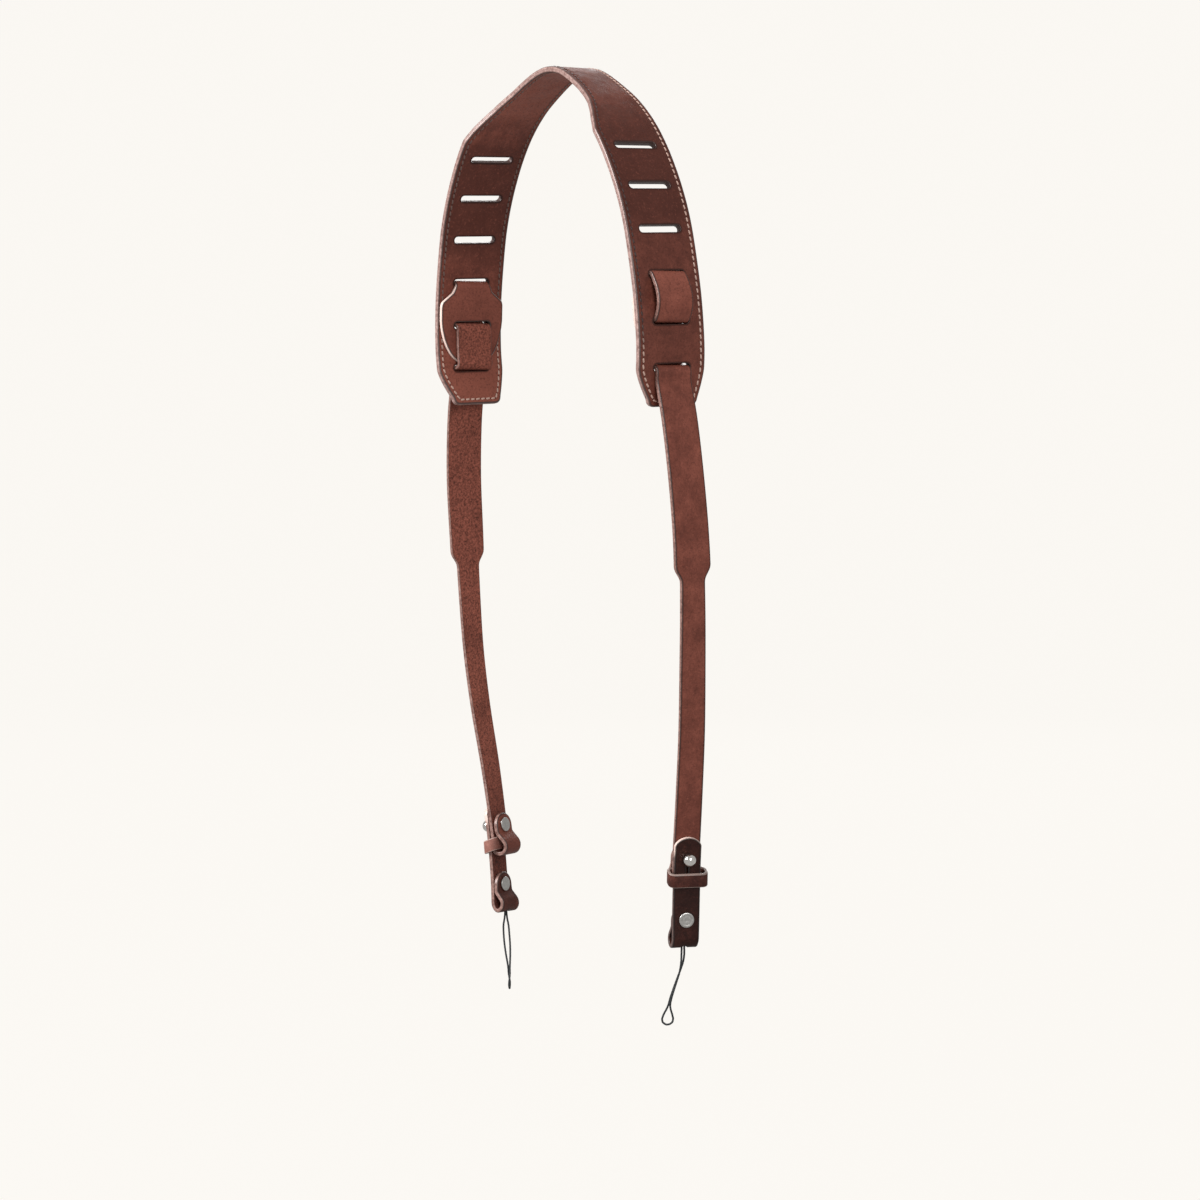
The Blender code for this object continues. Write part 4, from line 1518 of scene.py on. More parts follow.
@dataclass
class ShoulderPad:
    """The two sewn leathers of the pad, with their stitches."""

    shape: PadShape
    finishes: Finishes
    edge_round: float = 0.0011
    seam_round: float = 0.00012
    seam_gap: float = 0.00002
    stitch_in: float = 0.0031
    stitch_pitch: float = 0.0037
    stitch_length: float = 0.0030
    stitch_width: float = 0.00112
    stitch_height: float = 0.0004
    stitch_slant_deg: float = 9.0
    groove: float = 0.00022
    groove_reach: float = 0.0005
    press: float = 0.0002
    press_at: float = 0.0013
    press_reach: float = 0.0006
    hole_round: float = 0.36
    stitch_sides: int = 8
    stitch_rings: int = 7
    stitch_seat: float = 0.8
    stitch_dip: float = 1.7
    stitch_tip: float = 0.05
    prick_radius: float = 0.00042
    prick_deep: float = 0.0001
    prick_lift: float = 0.00003
    # Painted shade on the stitches: full on the outer face's near side and 0.72 of it on the
    # lining, both fading to none towards the pad's ends, and a little on the outer face's far side.
    shade_fades_from: tuple = (0.80, 0.90)
    lining_shade: float = 0.72
    far_shade: float = 0.15
    row_step: float = 0.0026
    column_step: float = 0.0031
    groove_step: float = 0.00045
    hole_rings: tuple = (0.0002, 0.0006, 0.0012)
    # Painted light and shade along the outer leather: a little darker at the crown, darkest round
    # the upper slots as painted shade, lighter towards the ends as painted light.
    outer_painted_shading: tuple = (
        (0.00, 0.40),
        (0.20, 0.38),
        (0.34, 0.14),
        (0.54, 0.14),
        (0.62, 0.40),
        (0.80, 0.56),
        (0.90, 0.62),
        (1.00, 0.80),
    )
    # Painted light and shade along the lining: lighter at the crown and the ends as painted light,
    # darker round the upper slots as painted shade.
    lining_painted_shading: tuple = (
        (0.00, 0.98),
        (0.22, 0.86),
        (0.34, 0.16),
        (0.60, 0.12),
        (0.67, 0.50),
        (0.80, 0.66),
        (0.90, 0.86),
        (1.00, 0.96),
    )

    def relief(self, edge: np.ndarray, hole: np.ndarray) -> np.ndarray:
        """How far the face is pressed in.

        Args:
            edge: distances from the outline.
            hole: distances from the nearest slot.

        Returns:
            The heights, none above 0.
        """
        groove = np.exp(-(((edge - self.stitch_in) / self.groove_reach) ** 2))
        press = np.exp(-(((hole - self.press_at) / self.press_reach) ** 2))
        return -self.groove * groove - self.press * press

    def leather(self, layer: Layer) -> bpy.types.Object:
        """One of the two leathers.

        Args:
            layer: which one.

        Returns:
            The piece, in the place of its CAD node.
        """
        half = self.shape.sizes.thick / 2
        outer = layer is Layer.OUTER
        sheet = Leather(
            bend=self.shape.bend,
            outline=self.shape.outline(),
            holes=self.shape.holes(),
            low=self.seam_gap if outer else -half,
            high=half if outer else -self.seam_gap,
            round_low=self.seam_round if outer else self.edge_round,
            round_high=self.edge_round if outer else self.seam_round,
            rows=spread(-self.shape.half_length, self.shape.half_length, self.row_step),
            column_step=self.column_step,
            rings=tuple(
                self.stitch_in + k * self.groove_step - self.edge_round for k in range(-2, 3)
            ),
            hole_rings=self.hole_rings,
            relief_high=self.relief if outer else level,
            relief_low=level if outer else self.relief,
            # Painted light and shade along the pad, one table for each leather.
            tone=Along(self.outer_painted_shading if outer else self.lining_painted_shading, self.shape.half_length),
            hole_round=self.hole_round,
        )
        finish = self.finishes.leather["pad" if outer else "lining"]
        slot = "pad_leather" if outer else "lining_leather"
        return sheet.build(layer.value, finish, slot, Side.RIGHT, turned=not outer)

    def stitch_path(self) -> np.ndarray:
        """The stitch line in the flat.

        Returns:
            A row of (along, across) for each hole.
        """
        outline = self.shape.outline()
        line = outline - out_of(outline) * self.stitch_in
        return evened(line, self.stitch_pitch)

    def sunk(self, middle: np.ndarray, layer: Layer) -> float:
        """How much painted shade a stitch gets, from 0 to 1.

        Args:
            middle: the stitch's middle in the flat.
            layer: the leather whose face it is on.

        Returns:
            The share of painted shade, which is most on the near side and nothing at the lining's
            ends.
        """
        share = abs(middle[0]) / self.shape.half_length
        # worn is how much of the painted shade is kept, fading to none towards the ends.
        worn = float(np.interp(share, self.shade_fades_from, (1.0, 0.0)))
        if layer is Layer.LINING:
            return self.lining_shade * worn
        return worn if middle[1] < 0 else self.far_shade

    def stitch(self, here: np.ndarray, there: np.ndarray, way: float) -> tuple[list, list]:
        """One stitch, as rings of a short bar that dips and thins at its ends.

        Args:
            here: the hole that it comes out of, in the flat.
            there: the hole that it goes down into.
            way: 1 on the outer face, -1 on the inner one.

        Returns:
            The rings' flat points and their heights.
        """
        turn = math.radians(self.stitch_slant_deg) * way
        spin = np.array([[math.cos(turn), -math.sin(turn)], [math.sin(turn), math.cos(turn)]])
        ahead = spin @ unit(there - here)
        across = np.array([-ahead[1], ahead[0]])
        middle = (here + there) / 2
        face = self.shape.sizes.thick / 2 - self.groove * self.stitch_seat
        flat, heights = [], []
        for k in range(self.stitch_rings):
            share = 2 * k / (self.stitch_rings - 1) - 1
            rise = self.stitch_height * (1 - self.stitch_dip * share**4) * 0.5
            full = math.sqrt(max(self.stitch_tip, 1 - share**6))
            for j in range(self.stitch_sides):
                angle = 2 * math.pi * j / self.stitch_sides * way
                off = math.cos(angle) * self.stitch_width / 2 * full
                lift = math.sin(angle) * way * self.stitch_height / 2 * full
                flat.append(middle + ahead * share * self.stitch_length / 2 + across * off)
                heights.append(face + rise + lift)
        return flat, heights

    def stitches(self, layer: Layer) -> bpy.types.Object:
        """The thread on one face.

        Args:
            layer: the leather whose face it is on.

        Returns:
            The stitches as one piece.
        """
        mesh, depths = Mesh(), []
        way = 1.0 if layer is Layer.OUTER else -1.0
        path = self.stitch_path()
        sides, rings = self.stitch_sides, self.stitch_rings
        for here, there in zip(path, np.roll(path, -1, axis=0)):
            # Each stitch's painted shade, kept in the sunk number.
            depths += [self.sunk((here + there) / 2, layer)] * (sides * rings)
            flat, heights = self.stitch(here, there, way)
            bar = self.shape.bend.place(np.array(flat), way * np.array(heights))
            mesh.add(bar, lids(rings, sides) + bands(rings, sides))
        name, numbers = "stitches_" + layer.value, {"sunk": np.array(depths)}
        thread, slot = self.finishes.thread, "pad_leather"
        return mesh.piece(name, thread, slot, numbers=numbers, sharp_deg=80.0, extra=True)

    def stitch_holes(self, layer: Layer) -> bpy.types.Object:
        """The pricked holes that the stitches go down into, as small dark lenses that paint the
        shade in them.

        Args:
            layer: the leather whose face they are on.

        Returns:
            The holes as one piece.
        """
        mesh, sides = Mesh(), self.stitch_sides
        way = 1.0 if layer is Layer.OUTER else -1.0
        face = self.shape.sizes.thick / 2 - self.groove + self.prick_lift
        heights = [face - self.prick_deep] * sides + [face] * sides + [face + self.prick_lift]
        faces = [tuple(range(sides))[::-1], *bands(2, sides)]
        faces += [(sides + k, sides + (k + 1) % sides, 2 * sides) for k in range(sides)]
        if way < 0:
            faces = [corners[::-1] for corners in faces]
        turns = np.linspace(0, 2 * math.pi, sides, endpoint=False)
        ring = self.prick_radius * np.column_stack([np.cos(turns), np.sin(turns)])
        for spot in self.stitch_path():
            flat = np.vstack([spot + ring, spot + ring, spot])
            mesh.add(self.shape.bend.place(flat, way * np.array(heights)), faces)
        name, hole = "stitch_holes_" + layer.value, self.finishes.hole
        return mesh.piece(name, hole, "pad_leather", extra=True)

    def build(self) -> None:
        """Makes both leathers and their stitches."""
        for layer in Layer:
            self.leather(layer)
            self.stitches(layer)
            self.stitch_holes(layer)
            log.info("made %s with its stitches", layer.value)


@dataclass
class LegStrap:
    """One strap: shield head, weave through the pad, long fall and the fold at the stud."""

    pad: PadShape
    sizes: StrapSizes
    fit: FittingSizes
    finishes: Finishes
    arc_steps: int = 10
    turn_lift: tuple = (-0.0005, 0.0009)
    weave_step: float = 0.003
    fall_step: float = 0.005
    bulge_steps: int = 16
    fold_start: tuple = (0.28, 0.55, 0.8, 0.91)
    soften: float = 0.0009
    cut_step: float = 0.0014
    outline_step: float = 0.0012
    row_step: float = 0.0011
    column_step: float = 0.0026
    flesh_round: float = 0.00035
    grain_round: float = 0.0007
    bare: tuple = ((0.0, 1.0), (0.97, 1.0), (1.0, 0.0))
    # Painted light and shade along the strap: lighter through the pad as painted light, darker
    # towards the fold at the stud as painted shade.
    tone: tuple = (
        (0.000, 0.60),
        (0.050, 0.66),
        (0.105, 0.80),
        (0.150, 0.66),
        (0.200, 0.56),
        (0.560, 0.54),
        (0.800, 0.40),
        (0.880, 0.20),
        (0.930, 0.14),
        (1.000, 0.50),
    )

    def __post_init__(self) -> None:
        """Works out how far off the pad each stretch lies."""
        sizes = self.sizes
        self.outer_lie = self.pad.sizes.thick / 2 + sizes.gap + sizes.leather / 2
        self.head_lie = -self.outer_lie
        self.passing_lie = self.head_lie - sizes.leather - sizes.gap
        self.slot_top, self.slot_middle, self.slot_low = self.pad.slots[-3:]
        self.head_tip = self.slot_low - sizes.bend - sizes.leather / 2
        self.head_turn = self.slot_top + sizes.bend
        self.head_length = self.head_tip - self.head_turn
        self.hang = Hang(self.pad, sizes, self.outer_lie)
        self.return_lie = -(sizes.leather + self.fit.fold_stand_off)

    def lay(self, route: Route, spots: Sequence[tuple[float, float]]) -> None:
        """Adds points, given as (distance along the pad, distance off it)."""
        for along, out in spots:
            route.add(self.pad.at(along, out))

    def weave(self, route: Route, side: Side) -> None:
        """The run from the head's tip through the three lower slots to the outer side.

        Args:
            route: the run to add to.
            side: which half, since the left turn lies lower in its slot than the right one.
        """
        bend, steps = self.sizes.bend, self.arc_steps
        head, outer, passing = self.head_lie, self.outer_lie, self.passing_lie
        turn_at = self.slot_top + bend - self.turn_lift[side is Side.RIGHT]
        for value in reversed(spread(self.slot_middle, self.head_tip, self.weave_step)):
            mark = "head_slot" if value == self.slot_middle else ""
            route.add(self.pad.at(value, head), mark=mark)
        back = reversed(spread(turn_at, self.slot_middle, self.weave_step)[:-1])
        self.lay(route, [(value, head) for value in back])
        self.lay(route, arc((turn_at, head + bend), bend, 270, 180, steps)[1:])
        self.lay(route, arc((turn_at, outer - bend), bend, 180, 90, steps))
        low, high = turn_at, self.slot_middle - bend
        for share in np.linspace(0, 1, self.bulge_steps + 1)[1:-1]:
            turn = math.pi * share**self.sizes.bulge_skew
            bulge = self.sizes.bulge * math.sin(turn) ** self.sizes.bulge_fullness
            route.add(self.pad.at(low + (high - low) * share, outer + bulge))
        self.lay(route, arc((self.slot_middle - bend, outer - bend), bend, 90, 0, steps))
        self.lay(route, arc((self.slot_middle + bend, passing + bend), bend, 180, 270, steps))
        on = spread(self.slot_middle + bend, self.slot_low - bend, self.weave_step)[1:-1]
        self.lay(route, [(value, passing) for value in on])
        self.lay(route, arc((self.slot_low - bend, passing + bend), bend, 270, 360, steps))
        self.lay(route, arc((self.slot_low + bend, outer - bend), bend, 180, 90, steps))

    def fall(self, route: Route) -> None:
        """The run below the pad, down to the ball stud.

        Args:
            route: the run to add to.
        """
        sizes, stud = self.sizes, self.fit.stud_at
        for down in spread(self.hang.start, sizes.shoulder_at, self.fall_step)[1:-1]:
            self.hang.lead(route, down)
        self.hang.lead(route, sizes.shoulder_at, mark="shoulder")
        for down in spread(sizes.shoulder_at, stud, self.fall_step)[1:-1]:
            self.hang.lead(route, down)
        self.hang.lead(route, stud, mark="stud")

    def fold(self, route: Route) -> None:
        """The run round the teardrop fold and back up over the stud.

        Args:
            route: the run to add to.
        """
        sizes, fit = self.sizes, self.fit
        height = fit.fold_bottom - sizes.leather / 2 - fit.stud_at
        for share in self.fold_start:
            self.hang.lead(route, fit.stud_at + height * share)
        for up, inward in sizes.fold:
            down = fit.stud_at + height * (1 - up)
            self.hang.lead(route, down, -fit.fold_bulge * inward)
        for below, lift in fit.settle_rows(fit.disc):
            self.hang.lead(route, fit.stud_at + below, self.return_lie - lift)
        for down, mark in ((fit.stud_at, "stud_return"), (fit.stud_at - fit.stud_end, "end")):
            self.hang.lead(route, down, self.return_lie, mark=mark)

    def half(self, distance: float, marks: dict[str, float]) -> float:
        """The half width: head, wide run, shoulder, narrow run and round end.

        Args:
            distance: the distance along the strap.
            marks: the marks' distances.

        Returns:
            The half width there.
        """
        sizes = self.sizes
        narrow = sizes.narrow / 2
        share = distance / self.head_length
        if share < 1:
            rows = (*sizes.head, (1.0, sizes.width / sizes.head_width))
            wide = np.interp(share, [row[0] for row in rows], [row[1] for row in rows])
            return sizes.head_width / 2 * wide
        if distance < marks["shoulder"]:
            return sizes.width / 2
        past = (distance - marks["shoulder"]) / sizes.shoulder
        if past < 1:
            ease = (1 - math.cos(math.pi * past)) / 2
            return sizes.width / 2 + (narrow - sizes.width / 2) * ease
        return rounded_end(marks["end"] - distance, narrow)

    def build(self, side: Side) -> bpy.types.Object:
        """Makes the strap on one side.

        Args:
            side: which half.

        Returns:
            The piece, in the place of its CAD node.
        """
        route = Route()
        self.weave(route, side)
        self.fall(route)
        self.fold(route)
        bend, marks = route.bend(self.soften)
        narrow, end = self.sizes.narrow / 2, marks["end"]
        places = spread(0.0, end - narrow, self.cut_step)
        places += [end - narrow * (1 - math.sin(a)) for a in np.radians(np.arange(10, 91, 10))]
        edge = [(value, self.half(value, marks)) for value in places]
        hole = self.fit.neck + 2 * self.fit.play
        sheet = Leather(
            bend=bend,
            outline=evened(both_edges(edge, 0), self.outline_step),
            holes=[
                slot_ring(marks["head_slot"], self.sizes.head_slot, self.pad.sizes.slot_width),
                hole_ring(marks["stud"], hole),
                hole_ring(marks["stud_return"], hole),
            ],
            low=-self.sizes.leather / 2,
            high=self.sizes.leather / 2,
            round_low=self.flesh_round,
            round_high=self.grain_round,
            rows=spread(0.0, end, self.row_step),
            column_step=self.column_step,
            # Painted light and shade along the strap.
            tone=Along(self.tone, end),
            bare=Along(self.bare, self.head_length),
        )
        finish = self.finishes.leather["strap"]
        return sheet.build(side.value + "_leg_strap", finish, "strap_leather", side)


@dataclass
class EndTab:
    """One end tab: a keyhole over the ball, and a loop at the bottom for the cord."""

    hang: Hang
    strap_leather: float
    fit: FittingSizes
    finishes: Finishes
    run_step: float = 0.004
    loop_start: tuple = (0.4, 0.75)
    soften: float = 0.0008
    cut_step: float = 0.0012
    outline_step: float = 0.0009
    row_step: float = 0.0009
    column_step: float = 0.0019
    rings: tuple = (0.0006, 0.0013)
    hole_rings: tuple = (0.0004, 0.0009)
    flesh_round: float = 0.0003
    grain_round: float = 0.0007
    hole_play: float = 1.5
    bare: tuple = ((0.0, 1.0), (0.6, 0.9), (1.0, 0.1), (9.0, 0.1))

    def __post_init__(self) -> None:
        """Works out how far outside the leg the tab lies."""
        self.lie = self.strap_leather / 2 + self.fit.gap + self.fit.tab_leather / 2

    def route(self) -> Route:
        """The run down over the ball, round the cord's eye and up to the rivet.

        Returns:
            The run, with its marks.
        """
        fit, route = self.fit, Route()
        top = fit.stud_at - fit.tab_head
        for down in (top, (top + fit.stud_at) / 2):
            self.hang.lead(route, down, self.lie)
        self.hang.lead(route, fit.stud_at, self.lie, mark="ball")
        for down in spread(fit.stud_at, fit.rivet_at, self.run_step)[1:-1]:
            self.hang.lead(route, down, self.lie)
        self.hang.lead(route, fit.rivet_at, self.lie, mark="rivet")
        height = fit.loop_bottom - fit.tab_leather / 2 - fit.rivet_at
        for share in self.loop_start:
            self.hang.lead(route, fit.rivet_at + height * share, self.lie)
        for up, inward in fit.loop:
            down = fit.rivet_at + height * (1 - up)
            mark = "eye" if up == 0 else ""
            self.hang.lead(route, down, self.lie - fit.loop_bulge * inward, mark=mark)
        back = self.lie - fit.tab_leather - fit.gap
        for below, lift in fit.settle_rows(fit.cap):
            self.hang.lead(route, fit.rivet_at + below, back - lift)
        for down, mark in ((fit.rivet_at, "rivet_return"), (fit.rivet_at - fit.rivet_end, "end")):
            self.hang.lead(route, down, back, mark=mark)
        return route

    def half(self, distance: float, marks: dict[str, float]) -> float:
        """The half width: a round head, then the plain strap, then a round end.

        Args:
            distance: the distance along the tab.
            marks: the marks' distances.

        Returns:
            The half width there.
        """
        head, plain = self.fit.tab_head_width / 2, self.fit.tab_width / 2
        narrows = [marks["ball"] + self.fit.slit * share for share in self.fit.head_narrows]
        past = np.interp(distance, narrows, (0, 1))
        wide = head + (plain - head) * past
        return min(rounded_end(distance, wide), rounded_end(marks["end"] - distance, plain))

    def keyhole(self, centre: float) -> np.ndarray:
        """A round hole with a narrow slit below it, clockwise.

        Args:
            centre: how far along the tab it lies.

        Returns:
            The keyhole's outline.
        """
        fit = self.fit
        radius = fit.neck / 2 + self.hole_play * fit.play
        open_deg = math.degrees(math.asin(fit.slit_width / 2 / radius))
        round_part = arc((centre, 0), radius, -open_deg, -360 + open_deg, 20)
        end = centre + radius + fit.play + fit.slit
        tip = arc((end, 0), fit.slit_width / 2, 90, -90, 4)
        way = np.linspace(centre + radius, end, 6)[1:-1]
        upper = [(value, fit.slit_width / 2) for value in way]
        lower = [(value, -fit.slit_width / 2) for value in way[::-1]]
        return np.array(round_part + upper + tip + lower)

    def build(self, side: Side) -> bpy.types.Object:
        """Makes the tab on one side.

        Args:
            side: which half.

        Returns:
            The piece, in the place of its CAD node.
        """
        fit = self.fit
        bend, marks = self.route().bend(self.soften)
        head, plain, end = fit.tab_head_width / 2, fit.tab_width / 2, marks["end"]
        angles = np.radians(np.arange(0, 81, 10))
        places = [head * (1 - math.cos(a)) for a in angles]
        places += spread(head, end - plain, self.cut_step)
        places += [end - plain * (1 - math.sin(a)) for a in np.radians(np.arange(10, 91, 10))]
        edge = [(value, self.half(value, marks)) for value in places]
        shank = fit.shank + 2 * fit.play
        sheet = Leather(
            bend=bend,
            outline=evened(both_edges(edge, 1), self.outline_step),
            holes=[
                self.keyhole(marks["ball"]),
                hole_ring(marks["rivet"], shank),
                hole_ring(marks["rivet_return"], shank),
                hole_ring(marks["eye"], fit.cord_hole),
            ],
            low=-fit.tab_leather / 2,
            high=fit.tab_leather / 2,
            round_low=self.flesh_round,
            round_high=self.grain_round,
            rows=spread(0.0, end, self.row_step),
            column_step=self.column_step,
            bare=Along(self.bare, fit.tab_head),
            rings=self.rings,
            hole_rings=self.hole_rings,
        )
        # Each side takes its own copy of the fitting leather: the left one lighter as painted
        # light, the right one darker as painted shade.
        finish = self.finishes.leather[side.value + " fitting"]
        return sheet.build(side.value + "_end_tab", finish, "fitting_leather", side)


@dataclass
class Keeper:
    """The leather band round the leg and the tab, tilted as it hangs."""

    hang: Hang
    strap: StrapSizes
    fit: FittingSizes
    finishes: Finishes
    edge_round: float = 0.00055
    # Constant numbers for the shared attributes: no darkening at edges or slots, 0.5 for no painted
    # light or shade, and a little bare edge.
    wear: tuple = (("edge_mm", 3.0), ("hole_mm", 9.0), ("tone", 0.5), ("bare", 0.35))

    def section(self) -> list[tuple[float, float, Surface]]:
        """The band's rounded section.

        Returns:
            Rows of (outwards, upwards, surface).
        """
        thick, high, radius = self.fit.keeper_leather, self.fit.keeper_height, self.edge_round
        corners = (
            (thick - radius, high / 2 - radius, 0),
            (radius, high / 2 - radius, 90),
            (radius, -high / 2 + radius, 180),
            (thick - radius, -high / 2 + radius, 270),
        )
        kinds = (Surface.EDGE, Surface.FLESH, Surface.EDGE, Surface.GRAIN)
        rows = []
        for (x, y, start), kind in zip(corners, kinds):
            turn = arc((x, y), radius, start, start + 90, 4)
            rows += [(*point, Surface.EDGE) for point in turn[:-1]] + [(*turn[-1], kind)]
        return rows

    def build(self, side: Side) -> bpy.types.Object:
        """Makes the band on one side.

        Args:
            side: which half.

        Returns:
            The piece, in the place of its CAD node.
        """
        fit = self.fit
        slope = math.tan(math.radians(fit.keeper_tilt_deg))
        stack = self.strap.leather + fit.gap + fit.tab_leather
        depth = stack + fit.keeper_play
        width = max(fit.tab_width, self.strap.narrow) + 2 * fit.keeper_side_play
        middle = (stack + fit.gap) / 2 - self.strap.leather / 2
        centre, across, outward = self.hang.at(fit.keeper_at, middle)
        centre = centre + across * fit.keeper_aside
        up = np.cross(outward, across)
        radius = fit.keeper_radius
        ring = []
        for x, y, start in ((1, 1, 0), (-1, 1, 90), (-1, -1, 180), (1, -1, 270)):
            corner = (x * (width / 2 - radius), y * (depth / 2 - radius))
            ring += arc(corner, radius, start, start + 90, 8)
        ring = np.array(ring)
        ways = out_of(ring)
        rows = self.section()
        points = []
        for spot, way in zip(ring, ways):
            for off, height, _ in rows:
                side_way, out = spot + way * off
                lift = up * (height - out * slope)
                points.append(centre + across * side_way + outward * out + lift)
        mesh = Mesh()
        faces = [face[::-1] for face in bands(len(ring), len(rows), closed=True)]
        mesh.add(np.array(points), faces)
        mesh.surfaces = [surface.value for _, _, surface in rows] * len(ring)
        numbers = {key: np.full(len(points), value) for key, value in self.wear}
        # Each side takes its own copy of the keeper leather: the left one lighter as painted light,
        # the right one darker as painted shade.
        name, finish = side.value + "_keeper", self.finishes.leather[side.value + " keeper"]
        return mesh.piece(name, finish, "fitting_leather", side, numbers)


class Plate(Enum):
    """The two nickel plates, as a turned piece's material slots are numbered."""

    POLISHED = 0
    BRUSHED = 1


@dataclass
class Turned:
    """A nickel piece turned about an axis square to the hanging leather."""

    hang: Hang
    down: float
    sides: int = 64

    def mesh(self, rows: Sequence[tuple[float, float, Plate]]) -> Mesh:
        """Spins a profile.

        Args:
            rows: rows of (outwards, radius, plate).

        Returns:
            The turned mesh.
        """
        centre, side, outward = self.hang.at(self.down)
        up, sides = np.cross(side, outward), self.sides
        points = []
        for height, radius, _ in rows:
            for k in range(sides):
                angle = 2 * math.pi * k / sides
                ring = side * math.cos(angle) + up * math.sin(angle)
                points.append(centre + outward * height + ring * radius)
        made = Mesh()
        made.add(np.array(points), lids(len(rows), sides) + bands(len(rows), sides))
        plates = [plate.value for _, _, plate in rows]
        made.surfaces = [plates[0], plates[-1], *np.repeat(plates[:-1], sides).tolist()]
        return made


CAP_SEAT = 0.95
CAP_SWELL = 0.05
CAP_BELLY = 0.42
CAP_RIM_DEG = (-60, -25, 10, 45, 70)
CAP_FACE = (
    (0.06, 0.90),
    (0.00, 0.80),
    (0.05, 0.72),
    (0.14, 0.66),
    (0.08, 0.55),
    (0.05, 0.34),
    (0.16, 0.20),
    (0.24, 0.04),
)


def cap_rows(inner: float, outer: float, rim: float, stem: float) -> list[tuple]:
    """A flat cap's profile from its stem side to its face, with a soft rim and a low step.

    Args:
        inner: the height of the side that sits on the leather.
        outer: the height of the face.
        rim: the cap's radius.
        stem: the stem's radius.

    Returns:
        Rows of (height, radius, plate).
    """
    way = 1 if outer > inner else -1
    thick = abs(outer - inner)
    rows = [(inner, stem), (inner, rim * CAP_SEAT)]
    for angle in np.radians(CAP_RIM_DEG):
        swell = rim * CAP_SEAT + rim * CAP_SWELL * math.cos(angle)
        rows.append((inner + way * thick * (CAP_BELLY + CAP_BELLY * math.sin(angle)), swell))
    face = inner + way * thick
    rows += [(face - way * thick * sunk, rim * share) for sunk, share in CAP_FACE]
    return [(*row, Plate.BRUSHED) for row in rows]


@dataclass
class BallStud:
    """The ball stud: a flat disc inside, a neck through the leathers and a ball outside."""

    tab: EndTab
    strap_leather: float
    fit: FittingSizes
    finishes: Finishes
    ball_steps: int = 26
    ball_top: tuple = (0.999, 0.04)

    def build(self, side: Side) -> bpy.types.Object:
        """Makes the stud on one side.

        Args:
            side: which half.

        Returns:
            The piece, in the place of its CAD node.
        """
        fit = self.fit
        inner = -1.5 * self.strap_leather - fit.fold_stand_off - fit.gap
        outer = self.tab.lie + fit.tab_leather / 2
        neck, ball = fit.neck / 2, fit.ball / 2
        sunk = math.asin(neck / ball)
        centre = outer + ball * math.cos(sunk)
        rows = cap_rows(inner, inner - fit.disc_thick, fit.disc / 2, neck)[::-1]
        rows.append((outer, neck, Plate.POLISHED))
        for angle in np.linspace(sunk, math.pi, self.ball_steps)[1:-1]:
            height, radius = centre - ball * math.cos(angle), ball * math.sin(angle)
            rows.append((height, radius, Plate.POLISHED))
        top, flat = self.ball_top
        rows.append((centre + ball * top, ball * flat, Plate.POLISHED))
        mesh = Turned(self.tab.hang, fit.stud_at).mesh(rows)
        nickel = self.finishes.nickel
        return mesh.piece(side.value + "_ball_stud", nickel, "nickel", side, sharp_deg=60)


@dataclass
class LoopRivet:
    """The double-cap rivet that closes the cord's loop."""

    tab: EndTab
    fit: FittingSizes
    finishes: Finishes

    def build(self, side: Side) -> bpy.types.Object:
        """Makes the rivet on one side.

        Args:
            side: which half.

        Returns:
            The piece, in the place of its CAD node.
        """
        fit = self.fit
        outer = self.tab.lie + fit.tab_leather / 2 + fit.gap
        inner = self.tab.lie - 1.5 * fit.tab_leather - 2 * fit.gap
        shank, rim = fit.shank / 2, fit.cap / 2
        rows = cap_rows(inner, inner - fit.cap_thick, rim, shank)[::-1]
        rows += cap_rows(outer, outer + fit.cap_thick, rim, shank)
        mesh = Turned(self.tab.hang, fit.rivet_at).mesh(rows)
        nickel = self.finishes.nickel
        return mesh.piece(side.value + "_loop_rivet", nickel, "nickel", side, sharp_deg=60)


